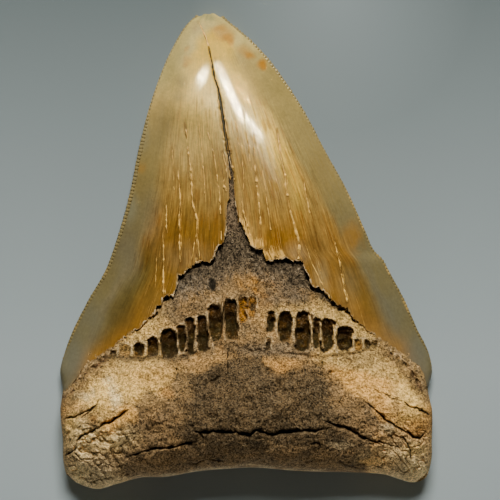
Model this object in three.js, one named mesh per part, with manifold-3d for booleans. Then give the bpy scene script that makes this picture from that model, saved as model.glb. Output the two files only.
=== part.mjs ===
import * as THREE from "three";
import { mergeVertices } from "three/addons/utils/BufferGeometryUtils.js";
import Module from "manifold-3d";

// Frame: millimetres. X across the tooth, Y from the root to the tip, Z up.
// The tooth lies on its flatter face on the plane Z = 0, with the bulging face up.

// Outline, as pairs of Y and X, from the root to the tip
const LEFT_EDGE = [
  [-57.6, -42.7], [-55.5, -44.6], [-52.5, -45.5], [-47.5, -45.6], [-40, -46.3],
  [-35.2, -45.8], [-33.7, -46.0], [-30, -46.5], [-25, -45.2], [-20, -43.3],
  [-12.5, -39.5], [-5, -35.2], [5, -31.7], [15, -29], [25, -27], [35, -24.5],
  [42.5, -22], [47.5, -20], [52.5, -17.5], [56, -15.3], [58, -13.4], [59.5, -11.2],
];
const RIGHT_EDGE = [
  [-57.6, 42.6], [-55.5, 45], [-52.5, 46.2], [-47.5, 46.3], [-40, 46.4],
  [-35, 45.4], [-33.4, 45.9], [-30, 46.6], [-25, 45.5], [-20, 43],
  [-12.5, 39.7], [-5, 35.7], [-2.6, 34.4], [0, 32], [5, 29.8], [15, 25.3],
  [25, 19.8], [35, 14.5], [42.5, 9.7], [47.5, 6], [52.5, 1.4], [55, -1.5],
  [57.5, -4.6], [58.7, -5.9], [59.5, -7.4],
];
// Foot of the root, as pairs of X and Y, over both lobes and the arch between
const FOOT = [
  [-46, -55.2], [-44.4, -56.2], [-42, -58.1], [-37, -59.5], [-32, -58.2],
  [-26, -56.6], [-20, -56.4], [-12, -55], [-4, -54.3], [2, -54], [14, -55],
  [26, -55.3], [34, -55.8], [38, -57], [41.3, -57.9], [44.2, -57.2], [46.4, -54.6],
];
const BEND = -35;
const TIP = 59.5;

// Heights along the middle, as pairs of Y and Z
const CREST = [
  [-60, 24.4], [-50, 25.9], [-44, 26.5], [-38, 26], [-31, 23.5], [-24, 20.4],
  [-16, 18.1], [-6, 16.4], [5, 15.3], [15, 14.2], [30, 11.8], [42, 9.1], [50, 6.7],
  [55, 4.9], [58, 3.5], [59.5, 2.3],
];
// How far the ridge of the crown stands off its middle, to the right
const RIDGE_SHIFT = [
  [-38, 0], [-22, 0.1], [-4, 0.24], [12, 0.34], [22, 0.36], [27, 0.34], [30.5, 0.28],
  [34, 0.17], [37, 0.075], [40, 0.015], [43, -0.045], [46, -0.09], [52, -0.06], [59.5, 0],
];
// How blunt the ridge is: 2 is a plain arch, more is flatter on top
const RIDGE_BLUNT = [[-38, 2], [15, 2], [28, 2.15], [38, 2.5], [59.5, 2.5]];
const EDGE_HEIGHT = [
  [-60, 8.4], [-45, 9.2], [-40, 8.2], [-35, 5.6], [-31, 4.3], [-20, 3.7],
  [0, 3.2], [30, 2.8], [50, 2.4], [59.5, 2.2],
];
const BELLY = 0.5;
const FOOT_ROUND = 11.5;
const FOOT_FULLNESS = 3;

// Enamel cap
const ENAMEL = 0.6;
const CORE_INSET = 1.3;
const SERRATION_PITCH = 0.9;
const SERRATION_DEPTH = 0.34;
const SPLIT_HEIGHT = 4.2;
// Jagged lower edge of the enamel on the upper face, left to right, as X and Y
const CHEVRON = [
  [-45.3, -35.2], [-43, -33], [-41, -29.9], [-36.6, -26.5], [-32.6, -23.7],
  [-29.6, -21.1], [-26.9, -19.8], [-25, -17.7], [-22.6, -15.5], [-22.1, -13.7],
  [-20.9, -13.2], [-20.8, -12.1], [-19.4, -11.2], [-18.1, -11.6], [-17.2, -8.8],
  [-16.9, -6], [-15.6, -5.9], [-14.5, -4.7], [-12.9, -3.7], [-12.2, -3],
  [-9.2, -3.1], [-7.8, -1.7], [-7.6, -0.2], [-6.9, 0.8], [-5.5, 2], [-4.6, 5],
  [-4.6, 9], [-4.3, 12.5], [-3.6, 15.5], [-3.3, 17.6], [-2.8, 15], [-2.7, 12.5],
  [-2.5, 9], [-1.2, 6.2], [0.3, 3.1], [1.3, 0.9], [3.2, 0.1], [4.4, 0.4],
  [5, -2.6], [6.7, -2.7], [7.1, -1.8], [8.8, -2.4], [9.6, -1.8], [11.4, -2.7],
  [14.1, -2.6], [14.4, -4.3], [15.7, -6.8], [16.6, -9], [18.4, -9.5],
  [20.3, -11.1], [22.4, -13.7], [25.1, -14.2], [26.3, -16.4], [28.4, -18.5],
  [32.2, -21.2], [36, -23.8], [39.6, -26.6], [42.1, -29.2], [43.8, -32.2],
  [45.3, -34.7],
];
// Smoother lower edge of the enamel on the underside
const UNDERSIDE_EDGE = [
  [-45.3, -35.2], [-35, -38.5], [-20, -36.5], [-7, -31.5], [0, -29.8], [7, -31.5],
  [20, -36.5], [35, -38.5], [45.3, -34.7],
];

// Pits below the enamel: middle X and Y, width, height, depth, lean in degrees
const PITS = [
  [-34.7, -26.6, 1.3, 1.5, 0.8, 0],
  [-33.1, -26, 1.3, 2.4, 1.1, 0],
  [-30.2, -25.1, 2.1, 3.2, 0.8, 4],
  [-26.6, -24.7, 2.2, 3.5, 1.5, 4],
  [-23.1, -24.2, 2.8, 4.6, 1.8, 3],
  [-19, -23.1, 3.6, 7.2, 2.4, 4],
  [-15.8, -21.8, 1.7, 6.4, 2, 5],
  [-13.5, -21, 1.6, 8.8, 2, 4],
  [-10.7, -20.3, 2.3, 8.6, 2.3, 2],
  [-7.5, -17.8, 3, 8.2, 2, 0],
  [-3.9, -17.3, 3, 9.8, 2.3, 1],
  [0.2, -14.8, 3.7, 6, 1.2, 0],
  [6.3, -17.8, 1.4, 5, 1.5, -8],
  [9.8, -18.7, 3.3, 7.4, 2, -4],
  [14, -19.8, 3.6, 8.8, 2.3, -3],
  [17.5, -20.6, 1.6, 7.8, 2, -5],
  [20.3, -21.7, 2.7, 7.6, 2.2, -5],
  [24.2, -22.1, 4.1, 6.2, 2, -4],
  [27.8, -23.2, 2, 3.5, 1, -4],
  [29.9, -23.5, 1.3, 2.5, 1.1, 0],
  [31.8, -23.7, 1.3, 1.8, 0.9, 0],
  [5.5, -23.5, 1.2, 3.8, 1.1, -12],
];

// Cracks: width, depth, then points in X and Y
const CRACKS = [
  [0.5, 0.7, [[-10, 54], [-9.2, 50.8], [-8.6, 47], [-7, 40.5], [-5.8, 33.3], [-4.6, 25.8]]],
  [0.9, 1.3, [[-4.6, 26.2], [-3.8, 20.6], [-3.3, 17.2], [-3.5, 12]]],
  [1, 1.3, [[-42, -48], [-38.5, -45], [-33, -42], [-28.6, -39.2]]],
  [0.8, 1.1, [[-29.5, -51.2], [-26, -49.7], [-20.3, -48.8], [-14.2, -47.1], [-11.8, -47]]],
  [1.2, 1.5, [
    [-13, -43.6], [-11.2, -44.7], [-9, -44.2], [-6, -44.6], [1, -45], [4.5, -44],
    [7, -45.2], [9.2, -44.4], [12, -44.2], [16, -44.3], [19.8, -44],
  ]],
  [0.9, 1.2, [[18.8, -42], [24.6, -43.6], [28.4, -45.9], [34.7, -47.5], [37.7, -48.8]]],
  [0.9, 1.3, [[29, -37], [33, -40.2], [38.6, -44.6], [43, -46.8]]],
];

// Mesh steps
const CROWN_ROWS = 34;
const CROWN_COLUMNS = 16;
const ROOT_ROWS = 11;
const ROOT_COLUMNS = 26;
const CORE_ROWS = 9;

// A smooth curve through pairs of position and value, read at one position
function along(points, at) {
  const last = points.length - 1;
  if (at <= points[0][0]) return points[0][1];
  if (at >= points[last][0]) return points[last][1];
  let i = 0;
  while (points[i + 1][0] < at) i += 1;
  const slope = (k) => {
    const a = points[Math.max(k - 1, 0)];
    const b = points[Math.min(k + 1, last)];
    return (b[1] - a[1]) / (b[0] - a[0]);
  };
  const [x0, v0] = points[i];
  const [x1, v1] = points[i + 1];
  const span = x1 - x0;
  const t = (at - x0) / span;
  const bend = (1 - t) * slope(i) * span - t * slope(i + 1) * span;
  return v0 + (v1 - v0) * t * t * (3 - 2 * t) + t * (1 - t) * bend;
}

function smooth(from, to, at) {
  const t = Math.min(Math.max((at - from) / (to - from), 0), 1);
  return t * t * (3 - 2 * t);
}

const leftEdge = (y) => along(LEFT_EDGE, y);
const rightEdge = (y) => along(RIGHT_EDGE, y);

// Place across the tooth: -1 on the left edge, 1 on the right edge
function across(x, y) {
  const middle = (leftEdge(y) + rightEdge(y)) / 2;
  const half = (rightEdge(y) - leftEdge(y)) / 2;
  return Math.min(Math.max((x - middle) / half, -1), 1);
}

// How far the foot's rounding has come up: 0 at the foot, 1 above it
function footRise(x, y, fullness) {
  const away = Math.min(Math.max((y - along(FOOT, x)) / FOOT_ROUND, 0), 1);
  return (1 - (1 - away) ** fullness) ** (1 / fullness);
}

// Low lumps of the worn root
function lumps(x, y) {
  const broad = Math.sin(x * 0.41 + 1.3) * Math.sin(y * 0.53 + 0.4);
  const fine = Math.sin(x * 0.97 - y * 0.31) * Math.sin(y * 1.13 + x * 0.22);
  return 0.32 * broad + 0.22 * fine;
}

function rise(x, y) {
  const place = across(x, y);
  const s = Math.abs(place);
  const skewed = place - along(RIDGE_SHIFT, y) * (1 - place * place);
  const crown = (1 - Math.abs(skewed) ** along(RIDGE_BLUNT, y)) ** 1.15;
  const bulge = 0.7 + 0.3 * Math.exp(-((s / 0.48) ** 2));
  const root = (1 - s ** 3.4) ** 0.5 * bulge * footRise(x, y, FOOT_FULLNESS);
  return THREE.MathUtils.lerp(crown, root, 1 - smooth(-40, -22, y));
}

const crownTop = (x, y) => {
  const base = along(EDGE_HEIGHT, y);
  return base + (along(CREST, y) - base) * rise(x, y);
};

// Root and the dentine under the enamel, on the upper face
function coreTop(x, y) {
  const hollow = 0.5 * smooth(-23, -12, y) * (1 - smooth(14, 20, y));
  const thin = 0.4 + 0.6 * smooth(38, 22, Math.abs(x));
  const sunk = ENAMEL * thin * smooth(-43, -33, y) + hollow;
  const worn = lumps(x, y) * (1 - smooth(-34, -22, y)) * rise(x, y);
  return Math.max(crownTop(x, y) - sunk + worn, along(EDGE_HEIGHT, y) - 0.6);
}

// Underside, held flat where it touches the ground
function crownUnder(x, y) {
  const s = Math.abs(across(x, y));
  const base = along(EDGE_HEIGHT, y);
  const crown = 1 - s ** 3.4;
  const root = (1 - s ** 5) ** 0.6 * footRise(x, y, 2) ** 0.8;
  const reach = THREE.MathUtils.lerp(crown, root, 1 - smooth(-42, -30, y));
  return Math.max(base - (base + BELLY) * reach, 0);
}

function coreUnder(x, y) {
  const step = ENAMEL * smooth(-47, -41, y);
  return Math.min(crownUnder(x, y) + step, along(EDGE_HEIGHT, y) - 0.2);
}

// Triangles gathered one by one into a closed surface
class Skin {
  constructor() {
    this.positions = [];
  }

  triangle(a, b, c) {
    const flat = a.distanceTo(b) < 1e-6 || b.distanceTo(c) < 1e-6 || c.distanceTo(a) < 1e-6;
    if (flat) return;
    this.positions.push(a.x, a.y, a.z, b.x, b.y, b.z, c.x, c.y, c.z);
  }

  quad(a, b, c, d) {
    this.triangle(a, b, c);
    this.triangle(a, c, d);
  }

  // Two lines that run the same way, with any number of points each
  stitch(first, second) {
    let i = 0;
    let k = 0;
    while (i < first.length - 1 || k < second.length - 1) {
      const endFirst = i === first.length - 1;
      const endSecond = k === second.length - 1;
      const next = endSecond || (!endFirst && first[i + 1].y <= second[k + 1].y);
      if (next) {
        this.triangle(first[i], second[k], first[i + 1]);
        i += 1;
      } else {
        this.triangle(first[i], second[k], second[k + 1]);
        k += 1;
      }
    }
  }

  geometry() {
    const made = new THREE.BufferGeometry();
    made.setAttribute("position", new THREE.Float32BufferAttribute(this.positions, 3));
    return made;
  }
}

// Closed shell: an upper and a lower grid that share a left and a right edge line
function shell(upper, lower, left, right) {
  const skin = new Skin();
  const rows = upper.length;
  const inner = upper[0].length;
  for (let i = 0; i < rows - 1; i += 1) {
    for (let j = 0; j < inner - 1; j += 1) {
      skin.quad(upper[i][j], upper[i][j + 1], upper[i + 1][j + 1], upper[i + 1][j]);
      skin.quad(lower[i][j], lower[i + 1][j], lower[i + 1][j + 1], lower[i][j + 1]);
    }
  }
  const column = (grid, j) => grid.map((row) => row[j]);
  skin.stitch(left, column(upper, 0));
  skin.stitch(column(lower, 0), left);
  skin.stitch(column(upper, inner - 1), right);
  skin.stitch(right, column(lower, inner - 1));
  endWall(skin, upper[0], lower[0], left[0], right[0]);
  const top = rows - 1;
  endWall(skin, lower[top], upper[top], left[left.length - 1], right[right.length - 1]);
  return skin.geometry();
}

function endWall(skin, above, below, left, right) {
  const last = above.length - 1;
  skin.triangle(left, below[0], above[0]);
  for (let j = 0; j < last; j += 1) skin.quad(above[j], below[j], below[j + 1], above[j + 1]);
  skin.triangle(above[last], below[last], right);
}

// Spacing that is finer towards both ends of the range -1 to 1
function spread(count) {
  const places = [];
  for (let j = 1; j < count; j += 1) {
    const t = (j / count) * 2 - 1;
    places.push(t * (1.32 - 0.32 * t * t));
  }
  return places;
}

function serrated(edge, side, from) {
  const points = [];
  for (let y = from; y < TIP - 0.6; y += 1.5) points.push(new THREE.Vector3(edge(y), y, 0));
  points.push(new THREE.Vector3(edge(TIP), TIP, 0));
  const curve = new THREE.CatmullRomCurve3(points);
  const count = 2 * Math.round(curve.getLength() / SERRATION_PITCH);
  return curve.getSpacedPoints(count).map((p, k) => {
    const end = k === 0 || k === count;
    const out = end ? 0 : (k % 2 ? 0.5 : -0.5) * SERRATION_DEPTH;
    const turn = curve.getTangentAt(k / count);
    const x = p.x + side * out * Math.abs(turn.y);
    const y = p.y - side * out * turn.x * Math.sign(turn.y);
    return new THREE.Vector3(x, y, along(EDGE_HEIGHT, y));
  });
}

function enamelShell() {
  const from = BEND - 3;
  const places = spread(CROWN_COLUMNS);
  const upper = [];
  const lower = [];
  for (let i = 0; i <= CROWN_ROWS; i += 1) {
    const t = i / CROWN_ROWS;
    const y = from + (TIP - 0.02 - from) * t * (1.18 - 0.18 * t);
    const middle = (leftEdge(y) + rightEdge(y)) / 2;
    const half = (rightEdge(y) - leftEdge(y)) / 2;
    const xs = places.map((s) => middle + s * half);
    upper.push(xs.map((x) => new THREE.Vector3(x, y, crownTop(x, y))));
    lower.push(xs.map((x) => new THREE.Vector3(x, y, crownUnder(x, y))));
  }
  const left = serrated(leftEdge, -1, from);
  const right = serrated(rightEdge, 1, from);
  return shell(upper, lower, left, right);
}

function coreShell() {
  const places = spread(ROOT_COLUMNS);
  const upper = [];
  const lower = [];
  const left = [];
  const right = [];
  const inset = (y) => CORE_INSET * smooth(-35.5, -33, y);
  const add = (heightAt) => {
    const yLeft = heightAt(-46);
    const yRight = heightAt(46);
    const a = leftEdge(yLeft) + inset(yLeft);
    const b = rightEdge(yRight) - inset(yRight);
    const xs = places.map((s) => (a + b) / 2 + (s * (b - a)) / 2);
    const above = xs.map((x) => new THREE.Vector3(x, heightAt(x), coreTop(x, heightAt(x))));
    const below = xs.map((x) => new THREE.Vector3(x, heightAt(x), coreUnder(x, heightAt(x))));
    left.push(new THREE.Vector3(a, yLeft, along(EDGE_HEIGHT, yLeft) - 0.3));
    right.push(new THREE.Vector3(b, yRight, along(EDGE_HEIGHT, yRight) - 0.3));
    upper.push(above);
    lower.push(below);
  };
  for (let i = 0; i < ROOT_ROWS; i += 1) {
    const t = (i / ROOT_ROWS) ** 1.6;
    add((x) => along(FOOT, x) + (BEND - along(FOOT, x)) * t);
  }
  for (let y = BEND; y < -6; y += 2.4) add(() => y);
  for (let i = 0; i <= CORE_ROWS; i += 1) {
    const y = -6 + (i / CORE_ROWS) * 50;
    add(() => y);
  }
  return shell(upper, lower, left, right);
}

// Outline between the jagged edge and a line well below it
function below(edge) {
  const shape = new THREE.Shape();
  shape.moveTo(-60, -70);
  shape.lineTo(60, -70);
  shape.lineTo(60, edge[edge.length - 1][1]);
  for (const [x, y] of [...edge].reverse()) shape.lineTo(x, y);
  shape.lineTo(-60, edge[0][1]);
  return shape;
}

function block(shape, low, high) {
  const made = new THREE.ExtrudeGeometry(shape, { depth: high - low, bevelEnabled: false });
  return made.translate(0, 0, low);
}

// Rounded cell, a little narrower at the bottom of the pit
function pit([x, y, width, height, depth, lean]) {
  const w = width / 2;
  const h = height / 2;
  const cut = Math.min(w, h) * 0.55;
  const ring = [
    [w, -h + cut], [w, h - cut], [w - cut, h], [-w + cut, h],
    [-w, h - cut], [-w, -h + cut], [-w + cut, -h], [w - cut, -h],
  ];
  const high = Math.max(coreTop(x, y - h), coreTop(x, y + h)) + 2;
  const skin = new Skin();
  const level = (z, scale) => ring.map(([a, b]) => new THREE.Vector3(a * scale, b * scale, z));
  const rim = level(high, 1.1);
  const floor = level(coreTop(x, y) - depth, 0.7);
  const top = new THREE.Vector3(0, 0, high);
  const bottom = new THREE.Vector3(0, 0, coreTop(x, y) - depth);
  for (let k = 0; k < 8; k += 1) {
    const n = (k + 1) % 8;
    skin.quad(floor[k], floor[n], rim[n], rim[k]);
    skin.triangle(top, rim[k], rim[n]);
    skin.triangle(bottom, floor[n], floor[k]);
  }
  return skin.geometry().rotateZ(THREE.MathUtils.degToRad(lean)).translate(x, y, 0);
}

// Groove of triangular section along a crooked line, pointed at both ends
function groove([width, depth, points], heightAt) {
  const skin = new Skin();
  const last = points.length - 1;
  const sections = points.map(([x, y], k) => {
    const [ax, ay] = points[Math.max(k - 1, 0)];
    const [bx, by] = points[Math.min(k + 1, last)];
    const side = new THREE.Vector3(ay - by, bx - ax, 0).normalize();
    const share = k === 0 || k === last ? 0.15 : 0.85 + 0.25 * Math.sin(k * 2.4);
    const z = heightAt(x, y);
    const wide = side.multiplyScalar(width * share * 1.1);
    const high = new THREE.Vector3(x, y, z + 1.2);
    const low = new THREE.Vector3(x, y, z - depth * share);
    return [high.clone().add(wide), high.clone().sub(wide), low];
  });
  for (let k = 0; k < last; k += 1) {
    for (let e = 0; e < 3; e += 1) {
      const n = (e + 1) % 3;
      skin.quad(sections[k][e], sections[k][n], sections[k + 1][n], sections[k + 1][e]);
    }
  }
  const [a, b, c] = sections[0];
  skin.triangle(a, c, b);
  skin.triangle(...sections[last]);
  return skin.geometry();
}

const wasm = await Module();
wasm.setup();

function solid(geometry) {
  const plain = geometry.clone();
  plain.deleteAttribute("normal");
  plain.deleteAttribute("uv");
  const merged = mergeVertices(plain, 1e-4);
  const made = new wasm.Manifold(
    new wasm.Mesh({
      numProp: 3,
      vertProperties: merged.attributes.position.array,
      triVerts: new Uint32Array(merged.index.array),
    }),
  );
  if (made.volume() <= 0) throw new Error("a shape faces inwards");
  return made;
}

let enamel = solid(enamelShell());
enamel = enamel.subtract(solid(block(below(CHEVRON), SPLIT_HEIGHT, 45)));
enamel = enamel.subtract(solid(block(below(UNDERSIDE_EDGE), -5, SPLIT_HEIGHT)));

let core = solid(coreShell());
for (const each of PITS) core = core.subtract(solid(pit(each)));

let whole = core.add(enamel);
for (const each of CRACKS) {
  const inEnamel = each[2][0][1] > 0;
  whole = whole.subtract(solid(groove(each, inEnamel ? crownTop : coreTop)));
}

// Largest body, without crumbs left by the cuts
const bodies = whole.decompose();
bodies.sort((a, b) => b.volume() - a.volume());
const mesh = bodies[0].getMesh();

const shape = new THREE.BufferGeometry();
shape.setAttribute("position", new THREE.BufferAttribute(mesh.vertProperties, 3));
shape.setIndex(new THREE.BufferAttribute(mesh.triVerts, 1));
shape.computeVertexNormals();

const tooth = new THREE.Mesh(
  shape,
  new THREE.MeshStandardMaterial({ color: 0x8f7346, roughness: 0.42, metalness: 0 }),
);
tooth.name = "tooth";

const part = new THREE.Group();
part.name = "fossil_tooth";
part.add(tooth);

export default part;
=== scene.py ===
import math

import bmesh
import bpy
import numpy as np
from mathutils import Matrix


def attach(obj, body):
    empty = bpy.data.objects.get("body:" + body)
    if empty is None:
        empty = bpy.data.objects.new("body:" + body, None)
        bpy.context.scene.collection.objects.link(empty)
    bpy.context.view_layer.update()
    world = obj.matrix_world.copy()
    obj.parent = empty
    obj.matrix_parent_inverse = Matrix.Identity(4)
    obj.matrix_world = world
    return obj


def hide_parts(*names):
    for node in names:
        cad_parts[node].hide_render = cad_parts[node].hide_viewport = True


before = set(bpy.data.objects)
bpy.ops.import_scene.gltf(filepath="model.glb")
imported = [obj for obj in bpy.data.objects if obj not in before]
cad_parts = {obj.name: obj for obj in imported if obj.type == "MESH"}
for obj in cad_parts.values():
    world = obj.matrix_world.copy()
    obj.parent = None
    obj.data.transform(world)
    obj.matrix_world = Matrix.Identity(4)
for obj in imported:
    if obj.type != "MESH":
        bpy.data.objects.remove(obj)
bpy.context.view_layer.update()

bl_info = {
    "name": "Fossil tooth",
    "version": (1, 0, 0),
    "blender": (4, 5, 0),
    "location": "View3D > Sidebar > Fossil",
    "description": "Builds a large serrated fossil tooth that lies on its flatter face",
    "category": "Add Mesh",
}

# Every shape below is worked out in millimetres and stored in metres.
MM = 0.001

# Outline of the tooth, as pairs of height along it and place across it
LEFT_EDGE = (
    (-57.6, -42.7), (-55.5, -44.6), (-52.5, -45.5), (-47.5, -45.6), (-40, -46.3),
    (-35.2, -45.8), (-33.7, -46.0), (-30, -46.5), (-25, -45.2), (-20, -43.3),
    (-12.5, -39.5), (-5, -35.2), (5, -31.7), (15, -29), (25, -27), (35, -24.5),
    (42.5, -22), (47.5, -20), (52.5, -17.5), (56, -15.3), (58, -13.4), (59.5, -11.2),
)
RIGHT_EDGE = (
    (-57.6, 42.6), (-55.5, 45), (-52.5, 46.2), (-47.5, 46.3), (-40, 46.4),
    (-35, 45.4), (-33.4, 45.9), (-30, 46.6), (-25, 45.5), (-20, 43), (-12.5, 39.7),
    (-5, 35.7), (-2.6, 34.4), (0, 32), (5, 29.8), (15, 25.3), (25, 19.8), (35, 14.5),
    (42.5, 9.7), (47.5, 6), (52.5, 1.4), (55, -1.5), (57.5, -4.6), (58.7, -5.9),
    (59.5, -7.4),
)
# Foot of the root over both lobes, and the hidden end of the root in the crown
FOOT = (
    (-46, -55.2), (-44.4, -56.2), (-42, -58.1), (-37, -59.5), (-32, -58.2),
    (-26, -56.6), (-20, -56.4), (-12, -55), (-4, -54.3), (2, -54), (14, -55),
    (26, -55.3), (34, -55.8), (38, -57), (41.3, -57.9), (44.2, -57.2), (46.4, -54.6),
)
ROOT_END = (
    (-46, -33.8), (-44.5, -31.5), (-40, -25), (-35, -21), (-28, -16), (-23, -9),
    (-18, -2.5), (-13, 0.5), (-9, 1.5), (-7.5, 4.5), (-6.2, 8), (-5.4, 18.5),
    (-4, 25.5), (-2.2, 18.5), (-1, 11), (1, 7), (4, 4.5), (8, 2), (14.5, 0.5),
    (17, -4), (21, -8), (26, -11), (31, -16.5), (36, -20.5), (41, -25),
    (44.5, -31), (46, -33.4),
)
TIP = 59.5
CROWN_FROM = -38.0

# Heights above the ground, along the middle and along the cutting edges
CREST = (
    (-60, 24.4), (-50, 25.9), (-44, 26.5), (-38, 26), (-31, 23.5), (-24, 20.4),
    (-16, 18.1), (-6, 16.4), (5, 15.3), (15, 14.2), (30, 11.8), (42, 9.1), (50, 6.7),
    (55, 4.9), (58, 3.5), (59.5, 2.3),
)
# How far the ridge of the crown stands off its middle, to the right
RIDGE_SHIFT = (
    (-38, 0), (-22, 0.1), (-4, 0.24), (12, 0.34), (22, 0.36), (27, 0.34), (30.5, 0.28),
    (34, 0.17), (37, 0.075), (40, 0.015), (43, -0.045), (46, -0.09), (52, -0.06), (59.5, 0),
)
# How blunt the ridge is: 2 is a plain arch, more is flatter on top
RIDGE_BLUNT = ((-38, 2), (15, 2), (28, 2.15), (38, 2.5), (59.5, 2.5))
EDGE_HEIGHT = (
    (-60, 8.4), (-45, 9.2), (-40, 8.2), (-35, 5.6), (-31, 4.3), (-20, 3.7),
    (0, 3.2), (30, 2.8), (50, 2.4), (59.5, 2.2),
)
BELLY = 0.5
FOOT_ROUND = 11.5
FOOT_FULLNESS = 3.0
SPLIT_HEIGHT = 4.2

# Lower edge of the enamel on the upper face, left to right
CHEVRON = (
    (-45.3, -35.2), (-43, -33), (-41, -29.9), (-36.6, -26.5), (-32.6, -23.7),
    (-29.6, -21.1), (-26.9, -19.8), (-25, -17.7), (-22.6, -15.5), (-22.1, -13.7),
    (-20.9, -13.2), (-20.8, -12.1), (-19.4, -11.2), (-18.1, -11.6), (-17.2, -8.8),
    (-16.9, -6), (-15.6, -5.9), (-14.5, -4.7), (-12.9, -3.7), (-12.2, -3),
    (-9.2, -3.1), (-7.8, -1.7), (-7.6, -0.2), (-6.9, 0.8), (-5.5, 2), (-4.9, 5),
    (-4.9, 9), (-4.6, 12.1), (-4.1, 12.7), (-4.3, 16.5), (-4.3, 20.5), (-4.6, 24.4),
    (-4.4, 24.4), (-3.6, 20.5), (-3.1, 17), (-2.8, 13), (-2.6, 11.8), (-2.1, 9),
    (-1.3, 6.8), (0.3, 3.5),
    (1.3, 0.9), (3.2, 0.1), (4.4, 0.4), (5, -2.6), (6.7, -2.7), (7.1, -1.8),
    (8.8, -2.4), (9.6, -1.8), (11.4, -2.7), (14.1, -2.6), (14.4, -4.3), (15.7, -6.8),
    (16.6, -9), (18.4, -9.5), (20.3, -11.1), (22.4, -13.7), (25.1, -14.2),
    (26.3, -16.4), (28.4, -18.5), (32.2, -21.2), (36, -23.8), (39.6, -26.6),
    (42.1, -29.2), (43.8, -32.2), (45.3, -34.7),
)
# Lower edge of the enamel on the underside
UNDERSIDE_EDGE = (
    (-45.3, -35.2), (-35, -38.5), (-20, -36.5), (-7, -31.5), (0, -29.8), (7, -31.5),
    (20, -36.5), (35, -38.5), (45.3, -34.7),
)
FRAYED = (-2.0, 12.0)

# Pits: middle across and along, width, height, depth, lean in degrees, amber share
PITS = (
    (-34.7, -26.6, 1.3, 1.5, 0.7, 0, 0.2), (-33.1, -26, 1.4, 2.4, 0.9, 0, 0.1),
    (-30.2, -25.1, 2.2, 3.2, 0.7, 4, 0.8), (-26.6, -24.7, 2.3, 3.4, 1.6, 4, 0.5),
    (-23.15, -24.1, 2.9, 4.4, 2, 3, 0.3), (-19.1, -23.1, 3.9, 7, 2.6, 4, 0.1),
    (-15.8, -21.8, 1.9, 6.4, 2.3, 5, 0.2), (-13.6, -21.3, 1.9, 9, 2.3, 4, 0.2),
    (-10.6, -20.6, 2.5, 8.8, 2.6, 2, 0.1), (-7.6, -18, 3.2, 8.5, 2.4, 0, 0.2),
    (-3.7, -17.1, 3, 9.7, 2.6, 1, 0.3), (-0.7, -14.8, 1.9, 6, 1.3, 1, 1.0),
    (1.3, -14.2, 1.7, 5, 1.0, -2, 1.0), (6.2, -17.8, 1.6, 4.9, 1.9, -8, 0.2),
    (9.6, -18.9, 3.2, 7.3, 2.4, -4, 0.3), (14.05, -20.1, 3.5, 9.3, 2.6, -3, 0.3),
    (17.4, -20.6, 1.7, 7.2, 2.0, -5, 0.2), (20.05, -21.1, 2.9, 7.9, 2.3, -5, 0.2),
    (24.3, -22, 3.9, 6, 2.4, -4, 0.2), (27.8, -23.5, 2.3, 2.6, 1.0, -4, 0.7),
    (30, -23.5, 1.4, 2.3, 1.1, 0, 0.3), (31.9, -23.5, 1.4, 1.8, 0.9, 0, 0.2),
    (5.5, -23.2, 1.1, 3, 1.0, -12, 0), (16.2, -17, 0.5, 1.5, 1.0, 0, 0),
    (-36.4, -27.6, 1.0, 1.1, 0.6, 0, 0), (-37.8, -29.1, 1.2, 0.9, 0.6, 0, 0),
    (-39.3, -29.9, 1.2, 0.9, 0.5, 0, 0), (-41, -32.2, 1.2, 0.8, 0.5, 0, 0),
    (-42.6, -33.5, 1.0, 0.7, 0.4, 0, 0), (37.9, -26.9, 1.3, 1.1, 0.6, 0, 0.3),
    (40, -28.6, 1.1, 0.9, 0.5, -40, 0.2), (41.8, -30.9, 1.5, 0.9, 0.6, -50, 0.1),
    (43, -32.8, 1.1, 0.7, 0.5, -50, 0.1),

)

# Thin walls between the pits
PIT_WALLS = (
    ((-24.6, -22.5), (-24.7, -24), (-24.9, -25.8)),
    ((-20.9, -19.4), (-21.3, -20.6), (-21.5, -23), (-21.3, -26.4)),
    ((-17.3, -19.4), (-17, -21.2), (-16.9, -23.8), (-16.6, -25.5), (-16.8, -26.4)),
    ((-14.7, -20), (-14.5, -22.7), (-14.9, -24.1), (-15.5, -25.7)),
    ((-12.5, -16.2), (-12.1, -18), (-12.4, -20.2), (-12.6, -23), (-12.6, -25.4)),
    ((-10, -15.2), (-9.5, -17.3), (-9.3, -19.8), (-8.8, -21.2), (-8.3, -23), (-7.9, -24.8)),
    ((-6, -13.8), (-5.6, -16.6), (-5.4, -19.1), (-5.1, -20.9), (-4.9, -22.3)),
    ((-2.4, -12), (-1.9, -14.1), (-2.1, -15.9), (-1.9, -18.5)),
    ((-0.1, -14.6), (0.5, -16.4), (1, -17.5)),
    ((7.2, -15.2), (7.5, -19.2), (8.1, -22.3)),
    ((11.4, -15.2), (11.75, -18.3), (11.8, -21.3), (12.25, -23.6)),
    ((15.6, -15.8), (15.9, -18.3), (16.3, -21.3), (16.5, -25.2)),
    ((18.3, -17.6), (18.6, -21.3), (19.1, -24.6)),
    ((21.6, -18.4), (22, -21.3), (22.4, -24.2), (22.7, -25.9)),
    ((26.3, -20.6), (26.6, -23.3), (26.8, -25)), ((29, -21.5), (29.1, -24.6)),
)

# Groove between the pits and the lobes below them
LEDGE = (
    (-31.5, -26.7), (-25, -27.1), (-17.3, -26.8), (-12, -25.9), (-8, -23.9), (-3.5, -23.5),
    (0, -24.2), (4.5, -25.6), (13, -25.8), (20, -26.3), (24, -25.9), (31, -25),
)
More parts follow.
